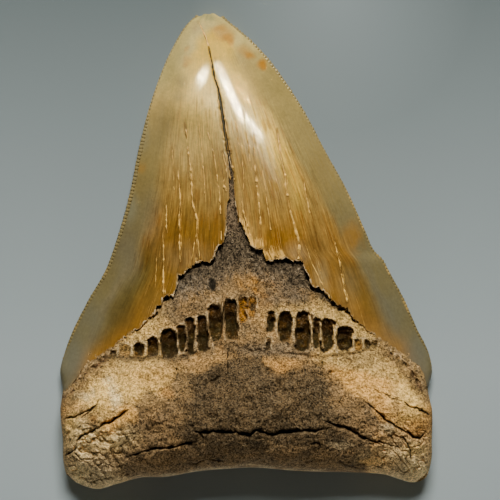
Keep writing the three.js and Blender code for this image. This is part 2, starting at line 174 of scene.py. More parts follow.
# Hollows under the broken edge of the enamel, also painted near black as shade: middle, half width, half height
UNDERCUTS = (
    (-16.4, -6.6, 0.9, 0.8), (-17.6, -9.6, 0.5, 0.8), (-19.9, -12, 0.9, 0.8),
    (-21.8, -14.1, 0.7, 0.5), (-22.4, -15.8, 0.5, 0.7), (-25.6, -18, 0.6, 0.5),
    (-12.8, -3.9, 1.3, 0.6), (-9.4, -3.4, 1.2, 0.5), (5.9, -2.9, 1.2, 0.4),
    (10.6, -2.6, 1.2, 0.7), (13.7, -3, 0.6, 0.5), (15.3, -6.6, 0.5, 0.9),
    (16.4, -9.3, 0.5, 0.7), (18.2, -10.1, 0.9, 0.5), (21.6, -13.4, 0.6, 0.6),
    (23.6, -14.7, 0.8, 0.4), (25.5, -15.4, 0.9, 0.5), (26.8, -17.2, 0.5, 0.6),
    (-6.2, 0.6, 0.5, 0.8), (-4.3, 12.4, 0.4, 0.5),
)

# Cracks in the root: width, depth, then points
ROOT_CRACKS = (
    (0.28, 0.6, ((-45.3, -42.4), (-42.3, -41), (-38.5, -39.5), (-36.6, -37.9))),
    (0.42, 1.3, (
        (-42.2, -48), (-40.8, -45.9), (-38.5, -44.9), (-36.3, -43.7), (-33, -42),
        (-31.2, -41.1), (-28.6, -39.2),
    )),
    (0.42, 1.2, (
        (-29.5, -51.2), (-26, -49.7), (-22.5, -48.9), (-20.3, -48.8), (-17.8, -48.3),
        (-14.3, -47.2), (-11.8, -47),
    )),
    (0.55, 1.7, (
        (-13, -43.7), (-11.4, -44.6), (-9.2, -44.3), (-6, -44.6), (-2.5, -44.6),
        (1, -45), (2.3, -44.1), (4.5, -44.6), (7, -45.3), (9.3, -44.5), (11.9, -44.1),
        (13.8, -44.6), (16.3, -44.3), (19.8, -44),
    )),
    (0.35, 1.0, ((-11.4, -44.6), (-10.3, -45.9))),
    (0.4, 1.2, (
        (18.9, -42), (21.4, -43), (24.6, -43.7), (26.5, -44.5), (28.4, -45.9),
        (31.6, -47.3), (34.8, -47.5), (37.7, -48.8),
    )),
    (0.4, 1.3, (
        (29, -37), (31, -38.5), (32.9, -40.2), (34.8, -42), (38.6, -44.6),
        (41.2, -45.9), (43.1, -46.8), (44.7, -44.9),
    )),
    (0.28, 0.8, ((38.6, -37.3), (40.9, -38.9), (43.4, -39.5), (46, -41.3))),
    (0.25, 0.6, ((-17.3, -28.7), (-16.8, -30.3), (-17, -31.8))),
    (0.25, 0.6, ((15.8, -47.2), (18.3, -47.5))),
    (0.25, 0.5, ((31.5, -53.4), (33.8, -54))),
    (0.25, 0.6, ((-45.4, -51.3), (-43.3, -50.4), (-41.8, -48.6))),
    (0.3, 0.5, ((-42.6, -50.2), (-41, -51.6), (-39.4, -51.9), (-37, -51.1))),
    (0.25, 0.5, ((-41.2, -41.6), (-38.6, -40), (-36.2, -37.4))),
    (0.25, 0.4, ((38.4, -45.6), (40.6, -49.2), (40.8, -51.6))),
    (0.2, 0.4, ((31.6, -34.4), (34.5, -36), (38.6, -37.3))),
    (0.25, 0.5, ((-14, -52.5), (-9, -51.4), (-4.6, -52))),
    (0.2, 0.4, ((22.4, -52), (26, -53.4), (31, -54.6))),
    (0.22, 0.5, ((-4.2, -23.4), (-4.6, -27), (-4.2, -30.5))),
)
# Dark stain over the middle of the root
STAIN = (
    (-14.8, -29.6), (-11.5, -30), (-9, -28.6), (-6, -27.6), (-3, -24.6), (3.6, -24.8),
    (5.6, -28.4), (8.6, -31), (12.4, -29.2), (14.4, -26.6), (18.5, -28), (23, -32),
    (25.5, -35), (29, -36.5), (33, -41), (34.5, -43.5), (31, -46), (31, -49.6), (29, -54),
    (31, -60), (4, -60), (-30, -60), (-29, -54.5), (-31.5, -51),
    (-32, -45.8), (-30.7, -42.5), (-28, -39.3), (-25.7, -37.5), (-24, -34.5),
    (-20.7, -35.8), (-17.3, -30),

)
# Darkest part of the stain
DEEP_STAIN = (
    (-15, -31.5), (-11.5, -30), (-6, -27.6), (-3, -24.6), (3.6, -24.8), (5.6, -28.4),
    (8.6, -31), (12.4, -29.2), (16, -28.5), (21, -32.6), (20, -38), (22, -44), (29, -47),
    (30, -51), (27, -60), (-20, -60), (-20, -52), (-16, -49), (-16, -44), (-14.5, -37),

)
# Lower limit of the dark band below the enamel
BAND_LOW = (
    (-24, -16.5), (-22, -14), (-18, -12), (-15, -9.5), (-12, -7.2), (-9, -7.5), (-6, -6.5),
    (-3, -4), (0, -3.2), (3, -4.2), (6, -6), (9, -7), (12, -9.5), (15, -10), (17, -11.5),
    (20, -13.5), (24, -16.5),
)
# Long crack down the middle of the crown
MIDLINE = (
    (-12, 57), (-10.8, 55), (-9.3, 50.8), (-8.6, 47), (-7.9, 43), (-7, 40.5),
    (-6.4, 37), (-5.8, 33.3), (-5.3, 29.3), (-4.6, 25.8), (-4.1, 22.5), (-3.8, 20.5),
    (-3.4, 17.5),
)
# Middle of the polished streak on the ridge
GLEAM = ((-7, 46), (-6, 44), (-3.8, 39), (-2.4, 35.7), (-0.3, 32.5), (1.6, 30.2), (3.2, 28))
# Small crack beside it
SIDE_CRACK = (
    (-7.8, 48), (-7.1, 45), (-6.5, 42.5), (-5.9, 40.4), (-5.1, 40.5), (-4.6, 39.5), (-5, 38.4),
    (-5.7, 38.9),
)
# Splits in the enamel: strength of the pale chips, then points
SPLITS = (
    (0.8, ((-17.2, 21), (-16.7, 16.5), (-16.4, 11), (-16.7, 8.3), (-16.5, 2.8), (-16.4, -3))),
    (1.0, (
        (-15.3, 32.9), (-14.5, 25.3), (-13.7, 19.8), (-13.5, 15), (-13.2, 11), (-12.1, 7.5),
        (-12.2, 2.8), (-12.4, -3),
    )),
    (0.6, ((-19.8, 11.6), (-19.9, 7.5), (-19.7, 4.3))),
    (0.7, ((-20.8, 5), (-20.6, 0), (-20.5, -11))),
    (0.6, ((-9.8, 31), (-8.6, 26), (-7.8, 23), (-7.1, 17.8), (-6.6, 14), (-6.2, 9))),
    (0.6, ((-6.2, 4.8), (-6, 2.4))),
    (1.0, ((-5.9, 24.5), (-5.1, 21.5), (-4.9, 19), (-5.6, 16.5), (-4.9, 14.6))),
    (0.9, ((-1.1, 12.5), (-0.8, 10), (0, 7.5), (0.6, 5), (1.3, 2.8))),
    (0.7, ((1.8, 29.5), (2.2, 21), (2.9, 14), (3.4, 9), (3.6, 5))),
    (1.0, (
        (7.7, 30), (8.4, 24.5), (9.6, 19.1), (9.9, 15.1), (10.7, 10.8), (11.8, 6.4),
        (13.1, 1.9), (13, -2.3),
    )),
    (0.5, ((14.3, 17.5), (15, 13), (15.8, 9))),
    (0.6, ((17, 0.3), (17.8, -2.2), (18.4, -5.2))),
    (0.8, ((21.8, 3), (22.7, -1), (23.5, -4.9), (24.5, -10.2), (25.1, -13))),
    (0.4, ((-22.5, 0), (-22.4, -5), (-22.6, -9.5))),
    (0.3, ((-0.6, 33), (0.3, 28), (1, 22))),
    (0.3, ((-1.4, 29), (-1, 24), (-0.6, 19), (-0.5, 15))),
    (0.35, ((3.9, 21), (4.8, 15), (5.6, 9), (6.2, 5))),
    (0.25, ((-5.2, 41), (-3.5, 35), (-2.2, 29.5), (-1.8, 26))),
    (0.3, ((-12, 33.5), (-11.2, 27), (-10.6, 20), (-10.2, 14))),
    (0.3, ((14.2, 3), (16.2, -3), (18.6, -8), (20.8, -12))),
    (0.25, ((-18.6, 27), (-18.2, 21), (-18, 15))),
    (0.55, ((-12, 57.2), (-11.4, 56.2), (-10.7, 54.6), (-9.9, 52.8), (-9.4, 51))),
    (0.3, ((-12.4, 4), (-12.9, 1), (-13.5, -2.6))), (0.3, ((-12, 3), (-11.7, 0), (-11.4, -3.2))),
)


# ---- curves, noise and distances ----


def along(points, at):
    """Smooth curve through pairs of position and value, read at many positions."""
    px, pv = np.array(points, float).T
    slope = np.empty(len(px))
    slope[1:-1] = (pv[2:] - pv[:-2]) / (px[2:] - px[:-2])
    slope[0] = (pv[1] - pv[0]) / (px[1] - px[0])
    slope[-1] = (pv[-1] - pv[-2]) / (px[-1] - px[-2])
    at = np.clip(np.asarray(at, float), px[0], px[-1])
    i = np.clip(np.searchsorted(px, at, side="right") - 1, 0, len(px) - 2)
    span = px[i + 1] - px[i]
    t = (at - px[i]) / span
    bend = (1 - t) * slope[i] * span - t * slope[i + 1] * span
    return pv[i] + (pv[i + 1] - pv[i]) * t * t * (3 - 2 * t) + t * (1 - t) * bend


def smooth(start, end, at):
    t = np.clip((at - start) / (end - start), 0, 1)
    return t * t * (3 - 2 * t)


def noise(x, y, size, seed):
    """Smooth noise from -1 to 1 with features about size across."""
    cells = 512
    table = np.random.default_rng(seed).uniform(-1, 1, (cells, cells))
    u, v = x / size + 101.3, y / size + 57.7
    i, j = np.floor(u).astype(int), np.floor(v).astype(int)
    a, b = u - i, v - j
    a, b = a * a * (3 - 2 * a), b * b * (3 - 2 * b)
    i0, i1, j0, j1 = i % cells, (i + 1) % cells, j % cells, (j + 1) % cells
    low = table[i0, j0] * (1 - a) + table[i1, j0] * a
    high = table[i0, j1] * (1 - a) + table[i1, j1] * a
    return low * (1 - b) + high * b


def layered(x, y, size, seed, layers=3):
    total = np.zeros(np.shape(x))
    for k in range(layers):
        total += noise(x, y, size / 2**k, seed + k) / 2**k
    return total / 1.6


def near_line(x, y, line):
    """Distance to a crooked line, and the share of the way along it."""
    best = np.full(x.shape, 1e6)
    place = np.zeros(x.shape)
    for k, ((ax, ay), (bx, by)) in enumerate(zip(line[:-1], line[1:])):
        dx, dy = bx - ax, by - ay
        t = np.clip(((x - ax) * dx + (y - ay) * dy) / (dx * dx + dy * dy), 0, 1)
        away = np.hypot(x - ax - t * dx, y - ay - t * dy)
        closer = away < best
        best[closer] = away[closer]
        place[closer] = k + t[closer]
    return best, place / (len(line) - 1)


def inside(x, y, outline, soft):
    """1 within a closed outline, 0 outside, with a soft border."""
    ring = (*outline, outline[0])
    away, _ = near_line(x, y, ring)
    within = np.zeros(x.shape, bool)
    for (ax, ay), (bx, by) in zip(ring[:-1], ring[1:]):
        if ay != by:
            spans = (ay > y) != (by > y)
            within ^= spans & (x < ax + (y - ay) * (bx - ax) / (by - ay))
    return smooth(-soft, soft, np.where(within, away, -away))


def patch(x, y, cx, cy, rx, ry, soft=0.5):
    """Soft oval patch: 1 in the middle, 0 outside."""
    away = np.hypot((x - cx) / rx, (y - cy) / ry)
    return smooth(1 + soft, 1 - soft, away)


# ---- the form of the tooth ----


def across(x, y):
    left, right = along(LEFT_EDGE, y), along(RIGHT_EDGE, y)
    return np.clip((2 * x - left - right) / (right - left), -1, 1)


def foot_rise(x, y, fullness):
    away = np.clip((y - along(FOOT, x)) / FOOT_ROUND, 0, 1)
    return (1 - (1 - away) ** fullness) ** (1 / fullness)


def rise(x, y):
    place = across(x, y)
    s = np.abs(place)
    skewed = place - along(RIDGE_SHIFT, y) * (1 - place * place)
    crown = np.clip(1 - np.abs(skewed) ** along(RIDGE_BLUNT, y), 0, 1) ** 1.15
    bulge = 0.7 + 0.3 * np.exp(-((s / 0.48) ** 2))
    root = (1 - s**3.4) ** 0.5 * bulge * foot_rise(x, y, FOOT_FULLNESS)
    share = smooth(-40, -22, y)
    return root + (crown - root) * share


def crown_top(x, y):
    base = along(EDGE_HEIGHT, y)
    return base + (along(CREST, y) - base) * rise(x, y)


def lumps(x, y):
    broad = np.sin(x * 0.41 + 1.3) * np.sin(y * 0.53 + 0.4)
    fine = np.sin(x * 0.97 - y * 0.31) * np.sin(y * 1.13 + x * 0.22)
    return 0.32 * broad + 0.22 * fine


def core_top(x, y, enamel):
    hollow = 0.5 * smooth(-23, -12, y) * (1 - smooth(14, 20, y))
    thin = 0.4 + 0.6 * smooth(38, 22, np.abs(x))
    sunk = enamel * thin * smooth(-43, -33, y) + hollow
    worn = lumps(x, y) * (1 - smooth(-34, -22, y)) * rise(x, y)
    return np.maximum(crown_top(x, y) - sunk + worn, along(EDGE_HEIGHT, y) - 0.6)


def crown_under(x, y):
    s = np.abs(across(x, y))
    base = along(EDGE_HEIGHT, y)
    crown = 1 - s**3.4
    root = (1 - s**5) ** 0.6 * foot_rise(x, y, 2) ** 0.8
    reach = root + (crown - root) * smooth(-42, -30, y)
    return np.maximum(base - (base + BELLY) * reach, 0)


def core_under(x, y, enamel):
    step = enamel * smooth(-47, -41, y)
    return np.minimum(crown_under(x, y) + step, along(EDGE_HEIGHT, y) - 0.2)


def pit_reach(x, y, pit):
    """1 within a pit; the distance to its ragged rim; the fall of its floor; 1 at its upper end."""
    cx, cy, width, height, _, lean, _ = pit
    turn = math.radians(lean)
    u = (x - cx) * math.cos(turn) + (y - cy) * math.sin(turn)
    v = (y - cy) * math.cos(turn) - (x - cx) * math.sin(turn)
    corner = 0.42 * width
    over_u = np.abs(u) - width / 2 + corner
    over_v = np.abs(v) - height / 2 + corner
    away = np.hypot(np.maximum(over_u, 0), np.maximum(over_v, 0)) - corner
    away = away + np.minimum(np.maximum(over_u, over_v), 0)
    away = away + 0.3 * noise(x, y, 1.5, 31) + 0.2 * noise(x, y, 0.6, 32) - 0.2
    shelf = 0.45 + 0.55 * smooth(-height / 2, -height / 6, v)
    return smooth(0.12, -0.32, away), away, shelf, smooth(-0.1, 0.45, v / height)


def pit_walls(x, y):
    """1 on the thin walls between the pits, 0 beside them."""
    walls = np.zeros(x.shape)
    for line in PIT_WALLS:
        xs, ys = zip(*line)
        close = (x > min(xs) - 1) & (x < max(xs) + 1) & (y > min(ys) - 1) & (y < max(ys) + 1)
        cx, cy = x[close], y[close]
        away, place = near_line(cx + 0.12 * noise(cx, cy, 1.1, 35), cy, line)
        wide = 0.29 * (1 + 0.45 * noise(cx, cy, 0.9, 36))
        ends = smooth(0, 0.04, place) * smooth(1, 0.93, place)
        walls[close] = np.maximum(walls[close], np.exp(-((away / wide) ** 4)) * ends)
    return walls


def near_pits(x, y):
    """Depth of the pits in millimetres, their shade, amber share, rims and upper ends."""
    depth = np.zeros(x.shape)
    shade = np.zeros(x.shape)
    amber = np.zeros(x.shape)
    rims = np.zeros(x.shape)
    heads = np.zeros(x.shape)
    for pit in PITS:
        cx, cy, width, height, deep, _, glow = pit
        close = (np.abs(x - cx) < width + 1) & (np.abs(y - cy) < height)
        if not close.any():
            continue
        reach, away, shelf, head = pit_reach(x[close], y[close], pit)
        floor = shelf * (1 - 0.5 * head) * (1 + 0.25 * noise(x[close], y[close], 1.4, 33))
        depth[close] = np.maximum(depth[close], reach * deep * floor)
        shade[close] = np.maximum(shade[close], reach * min(1, deep / 1.5))
        amber[close] = np.where(reach > 0.4, glow, amber[close])
        heads[close] = np.where(reach > 0.1, head, heads[close])
        wall = np.exp(-(((away - 0.18) / 0.2) ** 2)) * (2.2 * shelf - 1.1)
        rims[close] = np.maximum(rims[close], wall)
    walls = pit_walls(x, y)
    depth = depth * (1 - 0.85 * walls)
    shade = shade * (1 - walls)
    rims = np.maximum(np.clip(rims, 0, 1), 0.9 * walls)
    return depth, shade, amber, rims * (1 - shade), heads


def crack_depth(x, y, cracks):
    """Depth of the cracks in millimetres and how dark each point is."""
    depth = np.zeros(x.shape)
    shade = np.zeros(x.shape)
    for k, (width, deep, line) in enumerate(cracks):
        xs, ys = zip(*line)
        close = (x > min(xs) - 2) & (x < max(xs) + 2) & (y > min(ys) - 2) & (y < max(ys) + 2)
        if not close.any():
            continue
        cx, cy = x[close], y[close]
        wander = 0.34 * noise(cx, cy, 1.5, 41) + 0.22 * noise(cx, cy, 0.6, 42)
        away, place = near_line(cx, cy + wander, line)
        ends = smooth(0, 0.12, place) * smooth(1, 0.88, place)
        wide = 0.72 * width * (0.35 + 0.65 * ends) * (1 + 0.7 * noise(cx, cy, 1.8, 43 + k))
        reach = np.exp(-((away / wide) ** 2) * 1.4)
        depth[close] = np.maximum(depth[close], deep * reach * (0.3 + 0.7 * ends))
        shade[close] = np.maximum(shade[close], reach * (0.5 + 0.5 * ends))
    return depth, shade


# ---- mesh helpers ----


def only(*pieces):
    """Selects just these objects and makes the first one active."""
    bpy.ops.object.select_all(action="DESELECT")
    for piece in pieces:
        piece.select_set(True)
    bpy.context.view_layer.objects.active = pieces[0]


def places(piece):
    flat = np.empty(len(piece.data.vertices) * 3)
    piece.data.vertices.foreach_get("co", flat)
    return flat.reshape(-1, 3)


def move_points(piece, points):
    piece.data.vertices.foreach_set("co", np.ascontiguousarray(points).ravel())
    piece.data.update()


def sheet_of(columns, rows):
    """A flat grid whose two coordinates, from -1 to 1, are then shaped."""
    bpy.ops.mesh.primitive_grid_add(x_subdivisions=columns, y_subdivisions=rows, size=2)
    piece = bpy.context.object
    u, v, _ = places(piece).T
    return piece, u.copy(), (v + 1) / 2


def face_outwards(piece):
    """Turns the faces of a closed piece outwards."""
    only(piece)
    bpy.ops.object.mode_set(mode="EDIT")
    bpy.ops.mesh.select_all(action="SELECT")
    bpy.ops.mesh.normals_make_consistent(inside=False)
    whole = bmesh.from_edit_mesh(piece.data)
    if whole.calc_volume(signed=True) < 0:
        bpy.ops.mesh.flip_normals()
    bpy.ops.object.mode_set(mode="OBJECT")


def closed_from(upper, lower, name, keep_below, thin_below):
    """Joins two sheets that share their borders, and thins the lower one."""
    only(upper, lower)
    bpy.ops.object.join()
    piece = bpy.context.object
    piece.name = piece.data.name = name
    bpy.ops.object.mode_set(mode="EDIT")
    bpy.ops.mesh.select_all(action="SELECT")
    bpy.ops.mesh.remove_doubles(threshold=1e-7)
    bpy.ops.mesh.select_mode(type="VERT")
    bpy.ops.mesh.select_all(action="DESELECT")
    bpy.ops.object.mode_set(mode="OBJECT")
    x, y, z = places(piece).T / MM
    piece.data.vertices.foreach_set("select", thin_below(x, y, z))
    bpy.ops.object.mode_set(mode="EDIT")
    bpy.ops.mesh.decimate(ratio=keep_below)
    bpy.ops.object.mode_set(mode="OBJECT")
    face_outwards(piece)
    return piece


def prism(outline, low, high, name):
    """An upright block over an outline in millimetres."""
    mesh = bpy.data.meshes.new(name)
    points = [(x * MM, y * MM, low * MM) for x, y in outline]
    mesh.from_pydata(points, [], [range(len(points))])
    block = bpy.data.objects.new(name, mesh)
    bpy.context.collection.objects.link(block)
    only(block)
    bpy.ops.object.mode_set(mode="EDIT")
    bpy.ops.mesh.select_all(action="SELECT")
    bpy.ops.mesh.extrude_region_move(
        TRANSFORM_OT_translate={"value": (0, 0, (high - low) * MM)}
    )
    bpy.ops.object.mode_set(mode="OBJECT")
    face_outwards(block)
    return block


def cut_away(piece, block):
    only(piece)
    cut = piece.modifiers.new("Cut", "BOOLEAN")
    cut.operation = "DIFFERENCE"
    cut.solver = "MANIFOLD"
    cut.object = block
    bpy.ops.object.modifier_apply(modifier=cut.name)
    bpy.data.objects.remove(block)


def soften(piece, degrees):
    only(piece)
    bpy.ops.object.shade_smooth_by_angle(angle=math.radians(degrees))


def hand_over(piece, material):
    piece.data.materials.clear()
    piece.data.materials.append(material)
    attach(piece, "root")
    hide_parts("tooth")


def store(piece, name, values):
    """Keeps one number, or one colour, for each point of a piece."""
    values = np.asarray(values, np.float32)
    if values.ndim == 1:
        layer = piece.data.attributes.new(name, "FLOAT", "POINT")
        layer.data.foreach_set("value", values)
    elif values.shape[1] == 3:
        layer = piece.data.attributes.new(name, "FLOAT_VECTOR", "POINT")
        layer.data.foreach_set("vector", values.ravel())
    else:
        layer = piece.data.attributes.new(name, "FLOAT_COLOR", "POINT")
        layer.data.foreach_set("color", values.ravel())


def mix(paint, colour, share):
    """Lays a colour, or another paint, over the paint by a share for each point."""
    share = np.clip(share, 0, 1)[:, None]
    return paint * (1 - share) + np.array(colour) * share


def frayed_edge(line, seed):
    """Adds fine splinters to the lower edge of the enamel."""
    random = np.random.default_rng(seed)
    points = [line[0]]
    for (ax, ay), (bx, by) in zip(line[:-1], line[1:]):
        length = math.hypot(bx - ax, by - ay)
        steps = max(1, round(length / 0.34))
        narrow = -5.2 < (ax + bx) / 2 < -2.2 and (ay + by) / 2 > 4
        fringe = FRAYED[0] < (ax + bx) / 2 < FRAYED[1]
        size = 0.1 if narrow else 0.8 if fringe else 0.9
        for k in range(1, steps + 1):
            t = k / steps
            shift = size * (random.random() - 0.5)
            sway = 0.16 * (random.random() - 0.5)
            if k == steps:
                shift, sway = shift * 0.4, 0
            points.append((ax + (bx - ax) * t + sway, ay + (by - ay) * t + shift))
    points[-1] = line[-1]
    return points


# ---- sizes and colours that a user would change ----


def colour(name, description, default):
    return bpy.props.FloatVectorProperty(
        name=name, description=description, default=default, subtype="COLOR", size=3, min=0, max=1
    )


def length(name, description, default):
    return bpy.props.FloatProperty(
        name=name, description=description, default=default * MM, unit="LENGTH", precision=5
    )


class FossilToothSizes(bpy.types.PropertyGroup):
    """Sizes of the finer forms."""

    enamel: length("Enamel thickness", "Step from the enamel down to the band below it", 0.45)
    serration_pitch: length("Serration pitch", "Distance between two serrations", 0.9)
    serration_size: length("Serration size", "Width of one serration", 0.66)
    grain: length("Root grain", "Height of the fine grain on the root", 0.13)
    chips: length("Chips", "Width of the pale chips along the splits", 0.3)


class FossilToothColours(bpy.types.PropertyGroup):
    """Colours of the enamel, the band and the root."""

    tip: colour("Tip", "Enamel near the tip", (0.6, 0.348, 0.012))
    rim: colour("Rim", "Greyish enamel along the edges near the tip", (0.54, 0.41, 0.125))
    straw: colour("Straw", "Upper right side of the crown", (0.35, 0.25, 0.068))
    wheat: colour("Wheat", "Zone above the middle of the crown", (0.62, 0.41, 0.11))
    # painted sheen: stands in for the lights' broad reflection along the ridge
    painted_sheen: colour("Sheen", "Pale line down the ridge of the crown", (0.88, 0.54, 0.06))
    honey: colour("Honey", "Middle of the crown", (0.38, 0.225, 0.05))
    amber: colour("Amber", "Low in the middle of the crown", (0.238, 0.116, 0.0135))
    gold: colour("Gold", "Low on the right of the crown", (0.31, 0.142, 0.013))
    umber: colour("Umber", "Brown zone between amber and margins", (0.11, 0.08, 0.02))
    glow: colour("Glow", "Orange along the lower edge of the enamel", (0.26, 0.12, 0.014))
    olive: colour("Olive", "Margins along the cutting edges", (0.158, 0.122, 0.045))
    # painted reflection of the surroundings in the thin margins
    mist_reflection: colour("Mist", "Bluish streaks low in the margins", (0.16, 0.14, 0.085))
    chips: colour("Chips", "Chips and frayed edge of the enamel", (0.9, 0.54, 0.13))
    band: colour("Band", "Dark band below the enamel", (0.062, 0.045, 0.026))
    sand: colour("Sand", "Strip between the band and the pits", (0.225, 0.135, 0.053))
    tan: colour("Tan", "Main colour of the root", (0.46, 0.25, 0.075))
    cream: colour("Cream", "Pale parts of the root", (0.8, 0.5, 0.14))
    peach: colour("Peach", "Warm pale parts of the root", (0.78, 0.41, 0.1))
    ash: colour("Ash", "Greyish ends of both lobes", (0.46, 0.34, 0.17))
    bleached: colour("Bleached", "Nearly white spots of the root", (0.9, 0.64, 0.28))
    rust: colour("Rust", "Orange parts of the root", (0.36, 0.17, 0.04))
    haze: colour("Haze", "Outer part of the stain on the root", (0.157, 0.1, 0.046))
    dark: colour("Dark", "Darkest part of the stain", (0.066, 0.044, 0.021))
    hole: colour("Hole", "Inside of cracks", (0.012, 0.006, 0.002))
    hollow: colour("Hollow", "Inside of the pits", (0.022, 0.013, 0.004))


class FossilToothStage(bpy.types.PropertyGroup):
    """Floor and lights."""

    floor: colour("Floor", "Colour of the floor", (0.425, 0.485, 0.47))
    # painted shade: the floor beyond the tip darkens as if the light fell off
    distance: colour("Distance", "Colour of the floor beyond the tip", (0.178, 0.212, 0.203))
    key: bpy.props.FloatProperty(
        name="Key light", description="Power of the main light in watts", default=13.5, min=0
    )
    overhead: bpy.props.FloatProperty(
        name="Floor light", description="Power of the light on the floor in watts", default=9.1, min=0
    )
    glint: bpy.props.FloatProperty(
        name="Glint light", description="Power of the lights that make the highlights", default=20, min=0
    )
    fill: bpy.props.FloatProperty(
        name="Fill light", description="Power of the soft light from the root's side", default=2.7, min=0
    )


# ---- materials ----


def link(tree, source, target):
    tree.links.new(source, target)


def add_node(tree, kind, place, **values):
    made = tree.nodes.new(kind)
    made.location = place
    for key, value in values.items():
        if key in made.inputs:
            made.inputs[key].default_value = value
        else:
            setattr(made, key.replace(" ", "_").lower(), value)
    return made


def start_material(name):
    material = bpy.data.materials.new(name)
    material.use_nodes = True
    tree = material.node_tree
    tree.nodes.clear()
    output = add_node(tree, "ShaderNodeOutputMaterial", (900, 0))
    shader = add_node(tree, "ShaderNodeBsdfPrincipled", (600, 0))
    link(tree, shader.outputs["BSDF"], output.inputs["Surface"])
    return material, tree, shader


def value_range(tree, source, place, limits):
    """Stretches a value from one pair of limits to another."""
    made = add_node(tree, "ShaderNodeMapRange", place)
    for name, value in zip(("From Min", "From Max", "To Min", "To Max"), limits):
        made.inputs[name].default_value = value
    link(tree, source, made.inputs["Value"])
    return made


def enamel_material():
    """Glossy enamel with fine streaks and hairs that fan out from the tip."""
    material, tree, shader = start_material("Enamel")
    paint = add_node(tree, "ShaderNodeAttribute", (-900, 200), attribute_name="Paint")
    fan = add_node(tree, "ShaderNodeAttribute", (-1500, -100), attribute_name="Fan")
    strength = add_node(tree, "ShaderNodeAttribute", (-900, -600), attribute_name="Streak")
    streaks = add_node(
        tree, "ShaderNodeTexNoise", (-900, -100), Scale=1.0, Detail=4.0, Roughness=0.65
    )
    link(tree, fan.outputs["Vector"], streaks.inputs["Vector"])
    spread = value_range(tree, streaks.outputs["Fac"], (-700, -350), (0.3, 0.7, -0.4, 0.4))
    lines = add_node(tree, "ShaderNodeMath", (-500, -350), operation="MULTIPLY_ADD")
    link(tree, spread.outputs["Result"], lines.inputs[0])
    link(tree, strength.outputs["Fac"], lines.inputs[1])
    lines.inputs[2].default_value = 1
    shade = add_node(tree, "ShaderNodeVectorMath", (-300, 150), operation="MULTIPLY")
    link(tree, paint.outputs["Color"], shade.inputs[0])
    link(tree, lines.outputs["Value"], shade.inputs[1])
    closer = add_node(tree, "ShaderNodeVectorMath", (-1200, 500), operation="MULTIPLY")
    link(tree, fan.outputs["Vector"], closer.inputs[0])
    closer.inputs[1].default_value = (2.6, 1.3, 1)
    hairs = add_node(tree, "ShaderNodeTexNoise", (-900, 500), Scale=1.0, Detail=2.0)
    link(tree, closer.outputs["Vector"], hairs.inputs["Vector"])
    here = add_node(tree, "ShaderNodeTexCoord", (-1500, -900))
    specks = add_node(
        tree, "ShaderNodeTexNoise", (-900, -900), Scale=1500.0, Detail=3.0, Roughness=0.7
    )
    link(tree, here.outputs["Object"], specks.inputs["Vector"])
    mottled = value_range(tree, specks.outputs["Fac"], (-700, -900), (0.35, 0.65, 0.9, 1.1))
    uneven = add_node(tree, "ShaderNodeVectorMath", (-100, 0), operation="MULTIPLY")
    link(tree, shade.outputs["Vector"], uneven.inputs[0])
    link(tree, mottled.outputs["Result"], uneven.inputs[1])
    shade = uneven
    colour = shade.outputs["Vector"]
    for k, (limits, tint) in enumerate((
        ((0.57, 0.68, 0, 0.7), (0.7, 0.44, 0.2)),
        ((0.42, 0.32, 0, 0.7), (1.6, 1.6, 1.7)),
    )):
        wanted = value_range(tree, hairs.outputs["Fac"], (-600, 500 + 300 * k), limits)
        share = add_node(tree, "ShaderNodeMath", (-350, 500 + 300 * k), operation="MULTIPLY")
        link(tree, wanted.outputs["Result"], share.inputs[0])
        link(tree, strength.outputs["Fac"], share.inputs[1])
        tinted = add_node(tree, "ShaderNodeVectorMath", (-100, 500 + 300 * k), operation="MULTIPLY")
        link(tree, shade.outputs["Vector"], tinted.inputs[0])
        tinted.inputs[1].default_value = tint
        blend = add_node(tree, "ShaderNodeMix", (150 + 150 * k, 300), data_type="RGBA")
        link(tree, share.outputs["Value"], blend.inputs["Factor"])
        link(tree, colour, blend.inputs["A"])
        link(tree, tinted.outputs["Vector"], blend.inputs["B"])
        colour = blend.outputs["Result"]
    link(tree, colour, shader.inputs["Base Color"])
    dull = add_node(tree, "ShaderNodeAttribute", (-150, -150), attribute_name="Dull")
    scored = value_range(tree, hairs.outputs["Fac"], (-150, -450), (0.52, 0.64, 0, 0.1))
    roughness = add_node(tree, "ShaderNodeMath", (50, -150), operation="ADD")
    link(tree, dull.outputs["Fac"], roughness.inputs[0])
    link(tree, scored.outputs["Result"], roughness.inputs[1])
    link(tree, roughness.outputs["Value"], shader.inputs["Roughness"])
    bump = add_node(tree, "ShaderNodeBump", (150, -300), Strength=0.4, Distance=0.0001)
    link(tree, streaks.outputs["Fac"], bump.inputs["Height"])
    link(tree, bump.outputs["Normal"], shader.inputs["Normal"])
    return material


